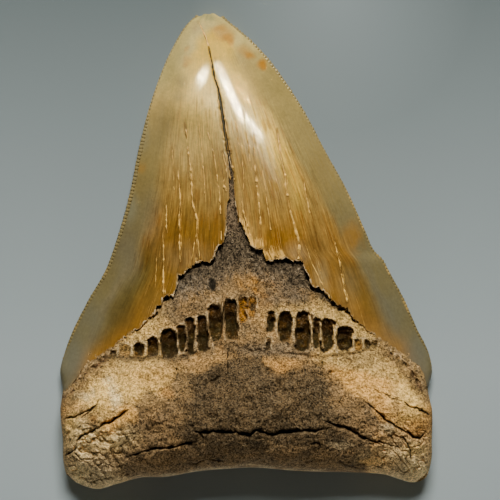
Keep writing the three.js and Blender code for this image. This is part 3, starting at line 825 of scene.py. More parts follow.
def root_material():
    """Rough root and band with sharp grains, which stand out more where the root is dark."""
    material, tree, shader = start_material("Root")
    shader.inputs["Roughness"].default_value = 0.8
    shader.inputs["Specular IOR Level"].default_value = 0.25
    paint = add_node(tree, "ShaderNodeAttribute", (-1100, 300), attribute_name="Paint")
    here = add_node(tree, "ShaderNodeTexCoord", (-1500, 0))
    grain = add_node(tree, "ShaderNodeTexVoronoi", (-1100, 0), Scale=3600.0)
    speck = add_node(
        tree, "ShaderNodeTexNoise", (-1100, -300), Scale=1500.0, Detail=3.0, Roughness=0.7
    )
    for texture in (grain, speck):
        link(tree, here.outputs["Object"], texture.inputs["Vector"])
    bright = add_node(tree, "ShaderNodeRGBToBW", (-900, 500))
    link(tree, paint.outputs["Color"], bright.inputs["Color"])
    amount = value_range(tree, bright.outputs["Val"], (-700, 500), (0.05, 0.5, 1.0, 0.55))
    quiet = value_range(tree, bright.outputs["Val"], (-700, 750), (0.016, 0.045, 0.2, 1))
    calmed = add_node(tree, "ShaderNodeMath", (-500, 300), operation="MULTIPLY")
    link(tree, amount.outputs["Result"], calmed.inputs[0])
    link(tree, quiet.outputs["Result"], calmed.inputs[1])
    shades = add_node(tree, "ShaderNodeSeparateColor", (-900, 0))
    link(tree, grain.outputs["Color"], shades.inputs["Color"])
    fine = value_range(tree, shades.outputs["Red"], (-700, 0), (0, 1, -0.9, 1.3))
    grains = add_node(tree, "ShaderNodeMath", (-500, 0), operation="MULTIPLY_ADD")
    link(tree, fine.outputs["Result"], grains.inputs[0])
    link(tree, calmed.outputs["Value"], grains.inputs[1])
    grains.inputs[2].default_value = 1
    coarse = value_range(tree, speck.outputs["Fac"], (-700, -300), (0.35, 0.65, 0.7, 1.3))
    both = add_node(tree, "ShaderNodeMath", (-300, -100), operation="MULTIPLY")
    link(tree, grains.outputs["Value"], both.inputs[0])
    link(tree, coarse.outputs["Result"], both.inputs[1])
    shade = add_node(tree, "ShaderNodeVectorMath", (-100, 200), operation="MULTIPLY")
    link(tree, paint.outputs["Color"], shade.inputs[0])
    link(tree, both.outputs["Value"], shade.inputs[1])
    sparse = value_range(tree, shades.outputs["Green"], (-500, 500), (0.84, 0.92, 0, 0.3))
    dim = value_range(tree, bright.outputs["Val"], (-500, 750), (0.04, 0.2, 1, 0))
    dots = add_node(tree, "ShaderNodeMath", (-300, 500), operation="MULTIPLY")
    link(tree, sparse.outputs["Result"], dots.inputs[0])
    link(tree, dim.outputs["Result"], dots.inputs[1])
    blend = add_node(tree, "ShaderNodeMix", (150, 300), data_type="RGBA")
    spots = add_node(tree, "ShaderNodeMath", (-100, 500), operation="MULTIPLY")
    link(tree, dots.outputs["Value"], spots.inputs[0])
    link(tree, quiet.outputs["Result"], spots.inputs[1])
    link(tree, spots.outputs["Value"], blend.inputs["Factor"])
    link(tree, shade.outputs["Vector"], blend.inputs["A"])
    blend.inputs["B"].default_value = (0.5, 0.37, 0.2, 1)
    link(tree, blend.outputs["Result"], shader.inputs["Base Color"])
    bump = add_node(tree, "ShaderNodeBump", (200, -300), Strength=0.8, Distance=0.00014)
    link(tree, grain.outputs["Distance"], bump.inputs["Height"])
    link(tree, bump.outputs["Normal"], shader.inputs["Normal"])
    return material


# ---- the pieces ----


# Orange and brown spots of the enamel: middle, half width, half height, share
STAINS = (
    (-5.6, 54.2, 2.5, 1.9, 0.5), (-4.6, 53, 1.6, 1.2, 0.85), (-6.9, 55.6, 1.7, 1, 0.6),
    (-0.4, 49.8, 1.6, 1.2, 0.45), (0.8, 48.7, 1.1, 0.8, 0.85), (4.1, 46.6, 1.1, 1.3, 1.0),
    (-14.4, 50, 0.8, 1.1, 0.45), (-14.4, 47.2, 1, 1, 0.45), (-14.8, 45.9, 0.7, 0.6, 0.5), (26.2, 3.4, 2.6, 3.6, 0.5), (17, 41, 0.8, 0.8, 0.4),
    (-27, 21, 1.6, 1.2, 0.3),
)
# Lighter and darker parts of the enamel: colour, share, middle, half width, half height
CROWN_PATCHES = (
    ((0.28, 0.19, 0.052), 0.65, 18.5, 18, 3, 7), ((0.52, 0.31, 0.075), 0.6, 2, 4.5, 2, 3),
    ((0.44, 0.26, 0.07), 0.6, -1, 10.5, 2, 3.5), ((0.5, 0.3, 0.085), 0.6, 17.5, -6.5, 1.3, 2.4),
    ((0.23, 0.22, 0.13), 0.6, -30, 10.5, 2.2, 3.6), ((0.17, 0.095, 0.02), 0.5, -14, 9.5, 1.2, 2.5),
    ((0.24, 0.22, 0.12), 0.45, -26.5, 28.5, 1.6, 3.5), ((0.4, 0.27, 0.1), 0.5, -12.2, 55.6, 1, 1.4),
    ((0.17, 0.17, 0.075), 0.7, -9.8, 58.3, 1.1, 0.9), ((0.26, 0.18, 0.06), 0.6, -16.7, 41.9, 1.4, 1.5),
    ((0.26, 0.19, 0.075), 0.4, -17.8, 38.5, 1.4, 1.4), ((0.36, 0.19, 0.02), 0.35, -0.5, 25, 3, 9),
    ((0.33, 0.17, 0.018), 0.4, 5.5, 14, 4.5, 6), ((0.33, 0.17, 0.018), 0.4, -15, 11, 5, 5),
    ((0.2, 0.135, 0.045), 0.45, 18.5, -1, 4, 7),
    ((0.32, 0.23, 0.05), 0.35, -17.5, 44, 3, 5), ((0.42, 0.3, 0.12), 0.45, 19, -7.5, 2.2, 4),
    ((0.19, 0.15, 0.065), 0.45, 25.5, -9, 2.8, 4.5), ((0.125, 0.125, 0.085), 0.7, -43.2, -27, 3, 7),
    # The pale gold patch at -5, 38.5 below is painted glow beside the highlight streak.
    ((0.125, 0.125, 0.085), 0.7, 43.2, -27, 3, 7), ((0.99, 0.7, 0.18), 0.5, -5, 38.5, 2.6, 7),
    ((0.14, 0.135, 0.08), 0.4, -39, -17, 3, 6), ((0.14, 0.135, 0.08), 0.4, 37.5, -17, 3, 6),
    ((0.12, 0.085, 0.02), 0.35, -24, -13, 3, 5), ((0.42, 0.3, 0.14), 0.4, 12.5, -1, 2.6, 2.6),
    ((0.3, 0.2, 0.08), 0.35, -14.5, -2, 6, 3.2), ((0.2, 0.17, 0.1), 0.4, -30, -1, 3, 6),
    ((0.2, 0.17, 0.1), 0.3, -24, 8, 3, 6), ((0.42, 0.23, 0.02), 0.3, 1, 36, 3, 10), ((0.36, 0.21, 0.042), 0.55, 2.4, 20, 2.2, 8),
    ((0.36, 0.21, 0.042), 0.45, -8, 21, 1.3, 6),
    ((0.1, 0.062, 0.014), 0.5, -31, -16.5, 2.6, 3.4),
)
# Patches of the root: colour, share, middle across and along, half width, half height
ROOT_PATCHES = (
    ("cream", 0.85, -30, -31.5, 12, 6), ("cream", 0.7, -36, -36, 9, 4),
    ("peach", 0.9, 29, -32, 12.5, 6.5), ("cream", 0.9, 41, -35, 5, 4),
    ("cream", 0.8, -35.5, -45.5, 7.5, 4), ("rust", 0.4, -24, -31, 6, 3),
    ("rust", 0.4, 8, -29, 5, 3), ("ash", 0.9, -38, -57, 12, 7),
    ("ash", 0.9, 40, -56, 10, 5.5), ("ash", 0.5, -40, -46, 7, 5),
    ("ash", 0.4, 40, -48, 7, 4), ("haze", 0.4, 34, -46.5, 5, 3),
    ("haze", 0.5, -32, -52, 5, 2.6), ("haze", 0.3, -40, -31, 4, 3),
    ("cream", 0.5, 40.5, -41, 3.5, 3), ("haze", 0.4, 27, -39.5, 4, 3),
    ("haze", 0.55, -16, -28.2, 7.5, 1.6), ("haze", 0.35, 21, -28.2, 7, 1.5),
)
# Smaller spots, laid over the stain
ROOT_SPOTS = (
    ("bleached", 0.9, -33.7, -31, 2.1, 2.1), ("bleached", 0.85, -31.9, -36.5, 1.3, 2.8),
    ("bleached", 0.75, -41, -36.5, 1.7, 1.3), ("bleached", 0.6, -38, -35.5, 0.9, 1.1),
    ("bleached", 0.7, -40.2, -49, 1.6, 1.6), ("rust", 0.8, -38, -42, 1.3, 1.4),
    ("bleached", 0.5, -34, -45.6, 6, 2.8),
    ("haze", 0.7, -29.4, -38, 1.1, 0.8), ("peach", 0.9, -29, -40.4, 2.4, 1.8),
    ("peach", 0.9, -33, -43.6, 3, 1.6), ("haze", 0.6, -38, -43.4, 1.6, 1),
    ("cream", 0.7, -43.5, -43.5, 1.6, 2.2), ("rust", 0.6, -19.4, -35.2, 1.7, 1.2),
    ("haze", 0.8, 38, -27.2, 1.6, 1.1), ("haze", 0.7, 42, -30.6, 2, 1.6),
    ("haze", 0.6, 36.7, -37.2, 0.6, 2.8), ("cream", 0.6, 43, -35.2, 2, 1.2),
    ("rust", 0.75, 42.2, -43.8, 3, 2.2), ("ash", 0.6, 35.2, -43.8, 1.9, 1.3),
    ("peach", 0.5, 31.5, -52.2, 3, 1), ("rust", 0.4, 36, -53, 3, 1.6),
    ("haze", 0.6, 38, -47.5, 2.4, 0.7), ("ash", 0.35, 23, -47.4, 2.6, 0.9),
    ("dark", 0.42, -17, -39, 3.2, 2.8), ("bleached", 0.6, 42.4, -54.8, 2.6, 2.2),
    ("bleached", 0.55, -41.6, -55.2, 2.4, 2),
    ("cream", 0.5, 41.5, -49.5, 2.6, 2), ("bleached", 0.4, -41, -46.5, 2.6, 4), ("bleached", 0.28, 36, -51, 7, 3),
)
# Line of the ridge, and widths of the pale margins, by height along the tooth
RIDGE = ((-10, 14), (11, 13), (19, 10.2), (27, 6.8), (35, 0), (43, -6.5), (51, -8), (59.5, -9))
LEFT_MARGIN = (
    (-36, 7), (-27, 7.4), (-20, 7), (-12.5, 6.4), (0, 6.6), (15, 7), (25, 7.2), (40, 7.6),
)
RIGHT_MARGIN = (
    (-36, 6), (-27, 7.4), (-20, 7.6), (-12.5, 7.4), (0, 7), (10, 7), (20, 7.8), (34, 8.8),
    (40, 9),
)


def border_distance(x, y):
    return near_line(x, y, CHEVRON)[0]


def split_marks(x, y):
    """Brown shadow along the splits of the enamel."""
    gap = np.zeros(x.shape)
    for k, (strength, line) in enumerate(SPLITS):
        xs, ys = zip(*line)
        close = (x > min(xs) - 1.5) & (x < max(xs) + 1.5) & (y > min(ys) - 0.5) & (y < max(ys) + 0.5)
        cx, cy = x[close], y[close]
        away, _ = near_line(cx, cy, line)
        brown = np.exp(-(((away - 0.1) / 0.25) ** 2)) * smooth(-0.6, 0.4, noise(cx, cy, 3, 74 + k))
        gap[close] = np.maximum(gap[close], brown * (0.4 + 0.6 * strength))
    return gap


def midline_marks(x, y):
    """The long crack: how deep it is and how pale its lips are."""
    wander = 0.12 * noise(x, y, 1.4, 81) + 0.09 * noise(x, y, 0.5, 82)
    away, _ = near_line(x + wander, y, MIDLINE)
    width = np.interp(y, (17, 25, 30, 36, 40, 47, 52, 57), (0.4, 0.4, 0.44, 0.4, 0.24, 0.16, 0.1, 0.03))
    width = width * (1 + 0.6 * noise(0 * x, y, 0.7, 84))
    whole = smooth(-0.5, -0.2, noise(0 * x, y, 1.1, 85) + 0.5 * smooth(51, 46, y))
    reach = np.exp(-((away / np.maximum(width, 0.04)) ** 2))
    lips = np.exp(-(((away - width * 1.6) / 0.16) ** 2)) * smooth(-0.3, 0.5, noise(x * 2, y, 1.2, 83))
    return reach * smooth(58, 50, y) * whole, lips * smooth(58, 54, y)


def crown_details(x, y):
    """Fine relief of the enamel in millimetres."""
    crack, _ = midline_marks(x, y)
    s = across(x, y)
    grooves = 0.03 * noise(s * 60, y, 9, 91) + 0.012 * noise(s * 140, y, 7, 92)
    lip = np.exp(-((border_distance(x, y) / 0.45) ** 2))
    return grooves - 0.9 * crack - 0.15 * lip


def crowded(u, y):
    """Draws the columns of the grid together along the long crack."""
    xs, ys = np.array(MIDLINE[::-1]).T
    off = u - across(np.interp(y, ys, xs), y)
    return u - 0.7 * off * np.exp(-((off / 0.16) ** 2)) * (1 - u * u)


class FOSSIL_OT_crown(bpy.types.Operator):
    """Make the enamel crown with its jagged lower edge"""

    bl_idname = "fossil.crown"
    bl_label = "Crown"

    def execute(self, context):
        columns, rows = 236, 300
        sheets = []
        for is_upper in (True, False):
            piece, s, t = sheet_of(columns, rows)
            y = CROWN_FROM + (TIP - CROWN_FROM) * t
            s = crowded(s, y)
            left, right = along(LEFT_EDGE, y), along(RIGHT_EDGE, y)
            x = (left + right) / 2 + s * (right - left) / 2
            border = (np.abs(s) > 0.9999) | (t < 1e-4) | (t > 0.9999)
            worn = smooth(58, TIP, y)
            x = x - 0.3 * s * worn * (right - left) / 2
            y = y - 0.3 * worn * (1 + noise(x, 0 * y, 0.9, 131))
            top = crown_top(x, y)
            if is_upper:
                relief = crown_details(x, y)
                z = top + relief * smooth(1, 0.97, np.abs(s)) * smooth(1, 0.99, t) * (t > 1e-4)
            else:
                z = np.where(border, top, crown_under(x, y))
            move_points(piece, np.column_stack((x, y, z)) * MM)
            sheets.append(piece)
        crown = closed_from(
            *sheets,
            "crown_enamel",
            0.12,
            lambda x, y, z: (z < along(EDGE_HEIGHT, y) - 0.25) & (np.abs(across(x, y)) < 0.97),
        )
        edge = frayed_edge(CHEVRON, 7)
        upper = [(-60, -70), (60, -70), (60, edge[-1][1]), *edge[::-1], (-60, edge[0][1])]
        under = [(-60, -70), (60, -70), (60, -34.7), *UNDERSIDE_EDGE[::-1], (-60, -35.2)]
        cut_away(crown, prism(upper, SPLIT_HEIGHT, 45, "upper_cut"))
        cut_away(crown, prism(under, -5, SPLIT_HEIGHT, "under_cut"))
        soften(crown, 38)
        self.paint(context, crown)
        hand_over(crown, enamel_material())
        return {"FINISHED"}

    def paint(self, context, crown):
        colours = context.scene.fossil_tooth_colours
        x, y, z = places(crown).T / MM
        s = across(x, y)
        upper = z > along(EDGE_HEIGHT, y) + 0.02
        half = (along(RIGHT_EDGE, y) - along(LEFT_EDGE, y)) / 2
        inward = (1 - np.abs(s)) * half
        border = border_distance(x, y)
        paint = np.tile(np.array(colours.tip[:]), (len(x), 1))
        cloud = layered(x, y, 5, 117)
        paint = mix(paint, colours.rim, smooth(9, 4, inward + 2.5 * cloud))
        aside = x - along(RIDGE, y) + 0.8 * noise(x, y, 7, 101)
        fan = 2.5 * noise(s * 40, y, 9, 102)
        right_flank = smooth(1.5, 7.5, aside) * smooth(54, 45, y)
        paint = mix(paint, colours.straw, right_flank)
        paint = mix(paint, colours.wheat, smooth(44, 35, y + 0.4 * fan) * smooth(6.5, 4, aside))
        paint = mix(paint, colours.honey, smooth(31, 18, y + fan))
        # Painted sheen: a pale line down the ridge stands in for the broad reflection of the lights.
        width = np.interp(y, (0, 19, 27, 35, 45), (1.8, 2.3, 3.2, 4.6, 5.4))
        painted_sheen = np.exp(-((aside / width) ** 2))
        painted_sheen = painted_sheen * np.interp(y, (0, 11, 19, 27, 34, 42, 48), (0, 0.28, 0.5, 0.85, 1, 0.8, 0))
        paint = mix(paint, colours.painted_sheen, painted_sheen)
        # Painted light: a pale golden panel left of the ridge stands in for the soft glow around the highlights.
        painted_glow_panel = patch(x + 0.12 * (y - 35), y + 0.6 * fan, -12, 35.5, 5.5, 8, 0.7)
        paint = mix(paint, (0.97, 0.63, 0.13), painted_glow_panel)
        middle = smooth(5, 8, inward)
        paint = mix(paint, colours.amber, smooth(15, 6, y + fan) * middle * smooth(-1, -5, x - 0.2 * y))
        paint = mix(paint, colours.gold, smooth(14, 2, y + fan) * middle * smooth(-5, -1, x - 0.2 * y))
        near = np.where(s < 0, smooth(15, 9.5, inward), smooth(14.5, 10, inward))
        moss = np.where(s < 0, 0.95, 0.55)
        paint = mix(paint, colours.umber, moss * near * smooth(4, -8, y) * smooth(4, 6.5, inward))
        reach = np.where(s < 0, along(LEFT_MARGIN, y), along(RIGHT_MARGIN, y))
        soft = np.where(s < 0, 2.4, 1.3) + 1.4 * smooth(0, -16, y)
        depth = inward - reach + 0.9 * layered(x, y, 6, 103)
        margin = smooth(soft, -soft, depth) * smooth(42, 26, y)
        high = smooth(-2, 26, y)[:, None]
        edging = np.array(colours.olive[:]) * (1 + high * np.array((0.85, 0.7, 0.35)))
        edging = edging * np.where(s > 0, 1.15, 1 + 0.35 * smooth(4, -20, y))[:, None]
        paint = mix(paint, edging, margin)
        # Painted reflection: bluish streaks low in the margins stand in for the surroundings mirrored in the thin
        # enamel and light showing through it.
        streak = np.exp(-(((depth + 1.6) / 1.3) ** 2)) * smooth(6, -8, y)
        misty = np.clip(streak + 0.7 * smooth(-0.2, 0.6, layered(x, y, 9, 104)), 0, 1)
        paint = mix(paint, colours.mist_reflection, 0.5 * margin * misty * smooth(4, -14, y))
        low = np.where(x < 0, smooth(-9, -16, y), smooth(-10, -17, y))
        glow = np.exp(-((border / 3.2) ** 2)) * low * smooth(46.5, 40, np.abs(x))
        paint = mix(paint, colours.glow, 0.9 * glow * upper)
        paint = mix(paint, (0.3, 0.16, 0.04), 0.5 * glow * upper * (x > 0))
        cloudy = 0.16 * cloud + 0.12 * layered(x, y, 1.2, 118) + 0.05 * noise(x, y, 0.5, 119)
        paint = paint * (1 + cloudy * (1 - 0.45 * margin))[:, None]
        for tint, share, cx, cy, rx, ry in CROWN_PATCHES:
            paint = mix(paint, tint, share * patch(x + 0.4 * fan, y, cx, cy, rx, ry, 0.8))
        for cx, cy, rx, ry, share in STAINS:
            wavy = 0.7 * noise(x, y, 1.6, 109)
            paint = mix(paint, (0.42, 0.17, 0.003), share * patch(x + wavy, y - wavy, cx, cy, rx, ry, 0.7))
        streaks = noise(s * 90, y, 3.4, 115) + 0.6 * noise(s * 200, y * 0.6, 3, 105)
        middle = smooth(6, 10, inward) * smooth(40, 15, y) * (0.4 + 0.6 * smooth(-16, 0, y))
        paint = paint * (1 + 0.1 * streaks * middle)[:, None]
        reddish = smooth(0.3, 0.8, noise(s * 110, y * 0.5, 3, 116)) * smooth(5, 9, inward)
        paint = mix(paint, (0.26, 0.11, 0.012), 0.45 * reddish * smooth(36, 22, y) * smooth(-6, 8, y))
        lined = smooth(0.3, 0.7, noise(s * 170, y, 3, 205)) * smooth(42, 36, y) * smooth(26, 30, y)
        paint = mix(paint, (0.4, 0.18, 0.03), 0.5 * lined * smooth(6, 9, inward))
        gap = split_marks(x, y)
        crack, lips = midline_marks(x, y)
        paint = mix(paint, (0.16, 0.07, 0.01), gap * upper * 0.8)
        paint = mix(paint, (0.24, 0.11, 0.02), lips * upper * 0.4)
        beside, _ = near_line(x + 0.1 * noise(x, y, 0.6, 120), y, SIDE_CRACK)
        paint = mix(paint, (0.22, 0.07, 0.02), np.exp(-((beside / 0.13) ** 2)) * upper * 0.85)
        lip = np.exp(-((border / 0.3) ** 2)) * smooth(-0.2, 0.6, noise(x, y, 0.8, 106))
        paint = mix(paint, (0.36, 0.24, 0.09), 0.8 * lip * upper)
        fringe = smooth(-2.5, 0, x) * smooth(11, 8, x) * smooth(-4, -1, y)
        frayed = np.exp(-((border / 1.5) ** 2)) * smooth(-0.2, 0.4, noise(x * 4, y, 1.6, 107))
        paint = mix(paint, colours.chips, 0.4 * frayed * fringe * upper)
        gaps = np.exp(-((border / 1.8) ** 2)) * smooth(0.1, -0.5, noise(x * 4, y, 1.6, 107))
        paint = mix(paint, (0.2, 0.11, 0.03), 0.6 * gaps * fringe * upper)
        paint = mix(paint, (0.006, 0.004, 0.002), np.clip(crack * 1.7, 0, 1) * upper)
        store(crown, "Paint", np.column_stack((np.clip(paint, 0, 1), np.ones(len(x)))))
        store(crown, "Fan", np.column_stack((s * 60 + 100, y * 0.14, z * 0.2)))
        along_tooth = (0.35 + 0.65 * smooth(42, 20, y)) * (0.35 + 0.65 * smooth(-16, 2, y))
        store(crown, "Streak", smooth(3, 9, inward) * along_tooth)
        shine, _ = near_line(x, y, GLEAM)
        oval = patch(x - 0.35 * (y - 43), y, -11, 43, 1.5, 3.1, 0.5)
        dull = 0.42 + 0.28 * patch(x, y, -9, 48, 12, 15, 0.9)
        dull = dull * (1 - 0.6 * smooth(1.7, 0.6, shine)) * (1 - 0.66 * oval)
        lined = smooth(0.1, 0.5, noise(s * 170, y, 3, 205)) * smooth(41, 33, y)
        dull = dull + 0.3 * np.clip(lips + lip + lined, 0, 1) + 0.04 * noise(x, y, 5, 108)
        store(crown, "Dull", dull)


def walk(line, step):
    """Points at an even pace along a crooked line."""
    line = np.array(line, float)
    run = np.concatenate(([0], np.cumsum(np.hypot(*np.diff(line, axis=0).T))))
    at = np.linspace(0, run[-1], max(3, int(run[-1] / step)))
    return np.column_stack([np.interp(at, run, line[:, k]) for k in (0, 1)])


def threads(name, paths):
    """Raised threads on the enamel, drawn as one curve with a thickness at each point."""
    curve = bpy.data.curves.new(name, "CURVE")
    curve.dimensions = "3D"
    curve.bevel_depth = MM
    curve.bevel_resolution = 0
    curve.use_fill_caps = True
    for points, thick in paths:
        x, y = points.T
        spline = curve.splines.new("POLY")
        spline.points.add(len(x) - 1)
        place = np.column_stack((x, y, crown_top(x, y) - 0.3 * thick, np.full(len(x), 1 / MM)))
        spline.points.foreach_set("co", (place * MM).ravel())
        spline.points.foreach_set("radius", thick)
    piece = bpy.data.objects.new(name, curve)
    bpy.context.collection.objects.link(piece)
    only(piece)
    bpy.ops.object.convert(target="MESH")
    face_outwards(bpy.context.object)
    return bpy.context.object


class FOSSIL_OT_splits(bpy.types.Operator):
    """Make the pale chips along the splits, the fine hairs and the crumbs of the broken edge"""

    bl_idname = "fossil.splits"
    bl_label = "Splits"

    def execute(self, context):
        colours = context.scene.fossil_tooth_colours
        self.chips = context.scene.fossil_tooth_sizes.chips / MM
        self.random = np.random.default_rng(23)
        groups = {
            "split_chips": (self.split_chips() + self.hairs(110, True), colours.chips),
            "fine_hairs": (self.hairs(150, False), (0.52, 0.28, 0.06)),
            "edge_crumbs": (self.crumbs(), (0.62, 0.44, 0.22)),
        }
        for name, (paths, tint) in groups.items():
            piece = threads(name, paths)
            x, y, z = places(piece).T / MM
            paint = np.tile(np.array(tint[:]), (len(x), 1))
            paint = mix(paint, colours.gold, 0.6 * smooth(0, 0.7, noise(x, y, 1.1, 181)))
            store(piece, "Paint", np.column_stack((paint, np.ones(len(x)))))
            store(piece, "Fan", np.column_stack((x, y, z)))
            store(piece, "Streak", np.zeros(len(x)))
            store(piece, "Dull", np.full(len(x), 0.5))
            hand_over(piece, bpy.data.materials["Enamel"])
        return {"FINISHED"}

    def split_chips(self):
        paths = []
        for k, (strength, line) in enumerate(SPLITS):
            points = walk(line, 0.2)
            x, y = points.T
            t = np.linspace(0, 1, len(x))
            points[:, 0] += 0.1 * noise(x, y, 1.3, 191 + k)
            thick = self.chips * (0.25 + 0.75 * strength) * (0.7 + 0.3 * t)
            thick = thick * (1 + noise(x, y, 0.7, 192 + k)) * smooth(0, 0.1, t)
            thick = thick * smooth(-0.9, -0.2, noise(x, y, 2, 193 + k))
            paths.append((points, np.maximum(thick, 0.012)))
            if strength > 0.6:
                twin = points + np.column_stack((0.3 + 0.2 * noise(x, y, 4, 221 + k), 0 * y))
                thick = 0.45 * thick * smooth(-0.3, 0.3, noise(x, y, 1.5, 222 + k))
                paths.append((twin, np.maximum(thick, 0.012)))
        points = walk(MIDLINE, 0.2)
        for side in (-1, 1):
            x, y = points.T
            aside = np.interp(y, (25, 36, 42, 50), (0.48, 0.48, 0.3, 0.2)) + 0.1 * noise(x, y, 0.8, 195 + side)
            beside = points + np.column_stack((side * aside, 0 * y))
            thick = np.interp(y, (22, 34, 46), (0.2, 0.13, 0.07)) * (1 + noise(x, y, 0.6, 197 + side))
            thick = thick * smooth(-0.4, 0.2, noise(x, y, 2, 199 + side))
            paths.append((beside, np.maximum(thick, 0.012)))
        return paths

    def hairs(self, count, fringe):
        """Thin lines that run with the fan of the enamel."""
        border = np.array(sorted(p for p in CHEVRON if p[1] < 7))
        paths = []
        for k in range(count):
            near_edge = fringe or k < 50
            foot_x = self.random.uniform(-1.6, 9.6) if fringe else self.random.uniform(-27, 31)
            low = np.interp(foot_x, *border.T) + 0.3
            if -5 < foot_x < -2.4:
                low = 25 if foot_x < -3 else 13
            start = low if near_edge else low + (24 - low) * self.random.random()
            rise = self.random.uniform(1, 3.2) if fringe else self.random.uniform(2, 9)
            s = float(across(np.array(foot_x), np.array(start)))
            if abs(s) > 0.72:
                continue
            y = np.arange(start, min(start + rise, 34), 0.4)
            if len(y) < 3:
                continue
            left, right = along(LEFT_EDGE, y), along(RIGHT_EDGE, y)
            x = (left + right) / 2 + s * (right - left) / 2 + 0.08 * noise(y, 0 * y + k, 1.2, 201)
            t = np.linspace(0, 1, len(y))
            size = (0.18 if fringe else 0.09 if near_edge else 0.055) * self.random.uniform(0.5, 1.1)
            thick = size * (1 - 0.6 * t) * (1 + 0.5 * noise(x, y, 0.8, 202))
            paths.append((np.column_stack((x, y)), np.maximum(thick, 0.01)))
        return paths

    def crumbs(self):
        """Pale broken rim of the enamel."""
        points = walk(frayed_edge(CHEVRON, 7), 0.16)
        x, y = points.T
        thick = 0.27 * smooth(-0.2, 0.7, noise(x, y, 1.6, 211) + 0.4 * noise(x, y, 0.4, 212))
        thick = thick * smooth(37, 24, np.abs(x)) * np.where((y > 5) & (x < -2), 0.5, 1)
        return [(points + (0, 0.06), np.maximum(thick, 0.012))]


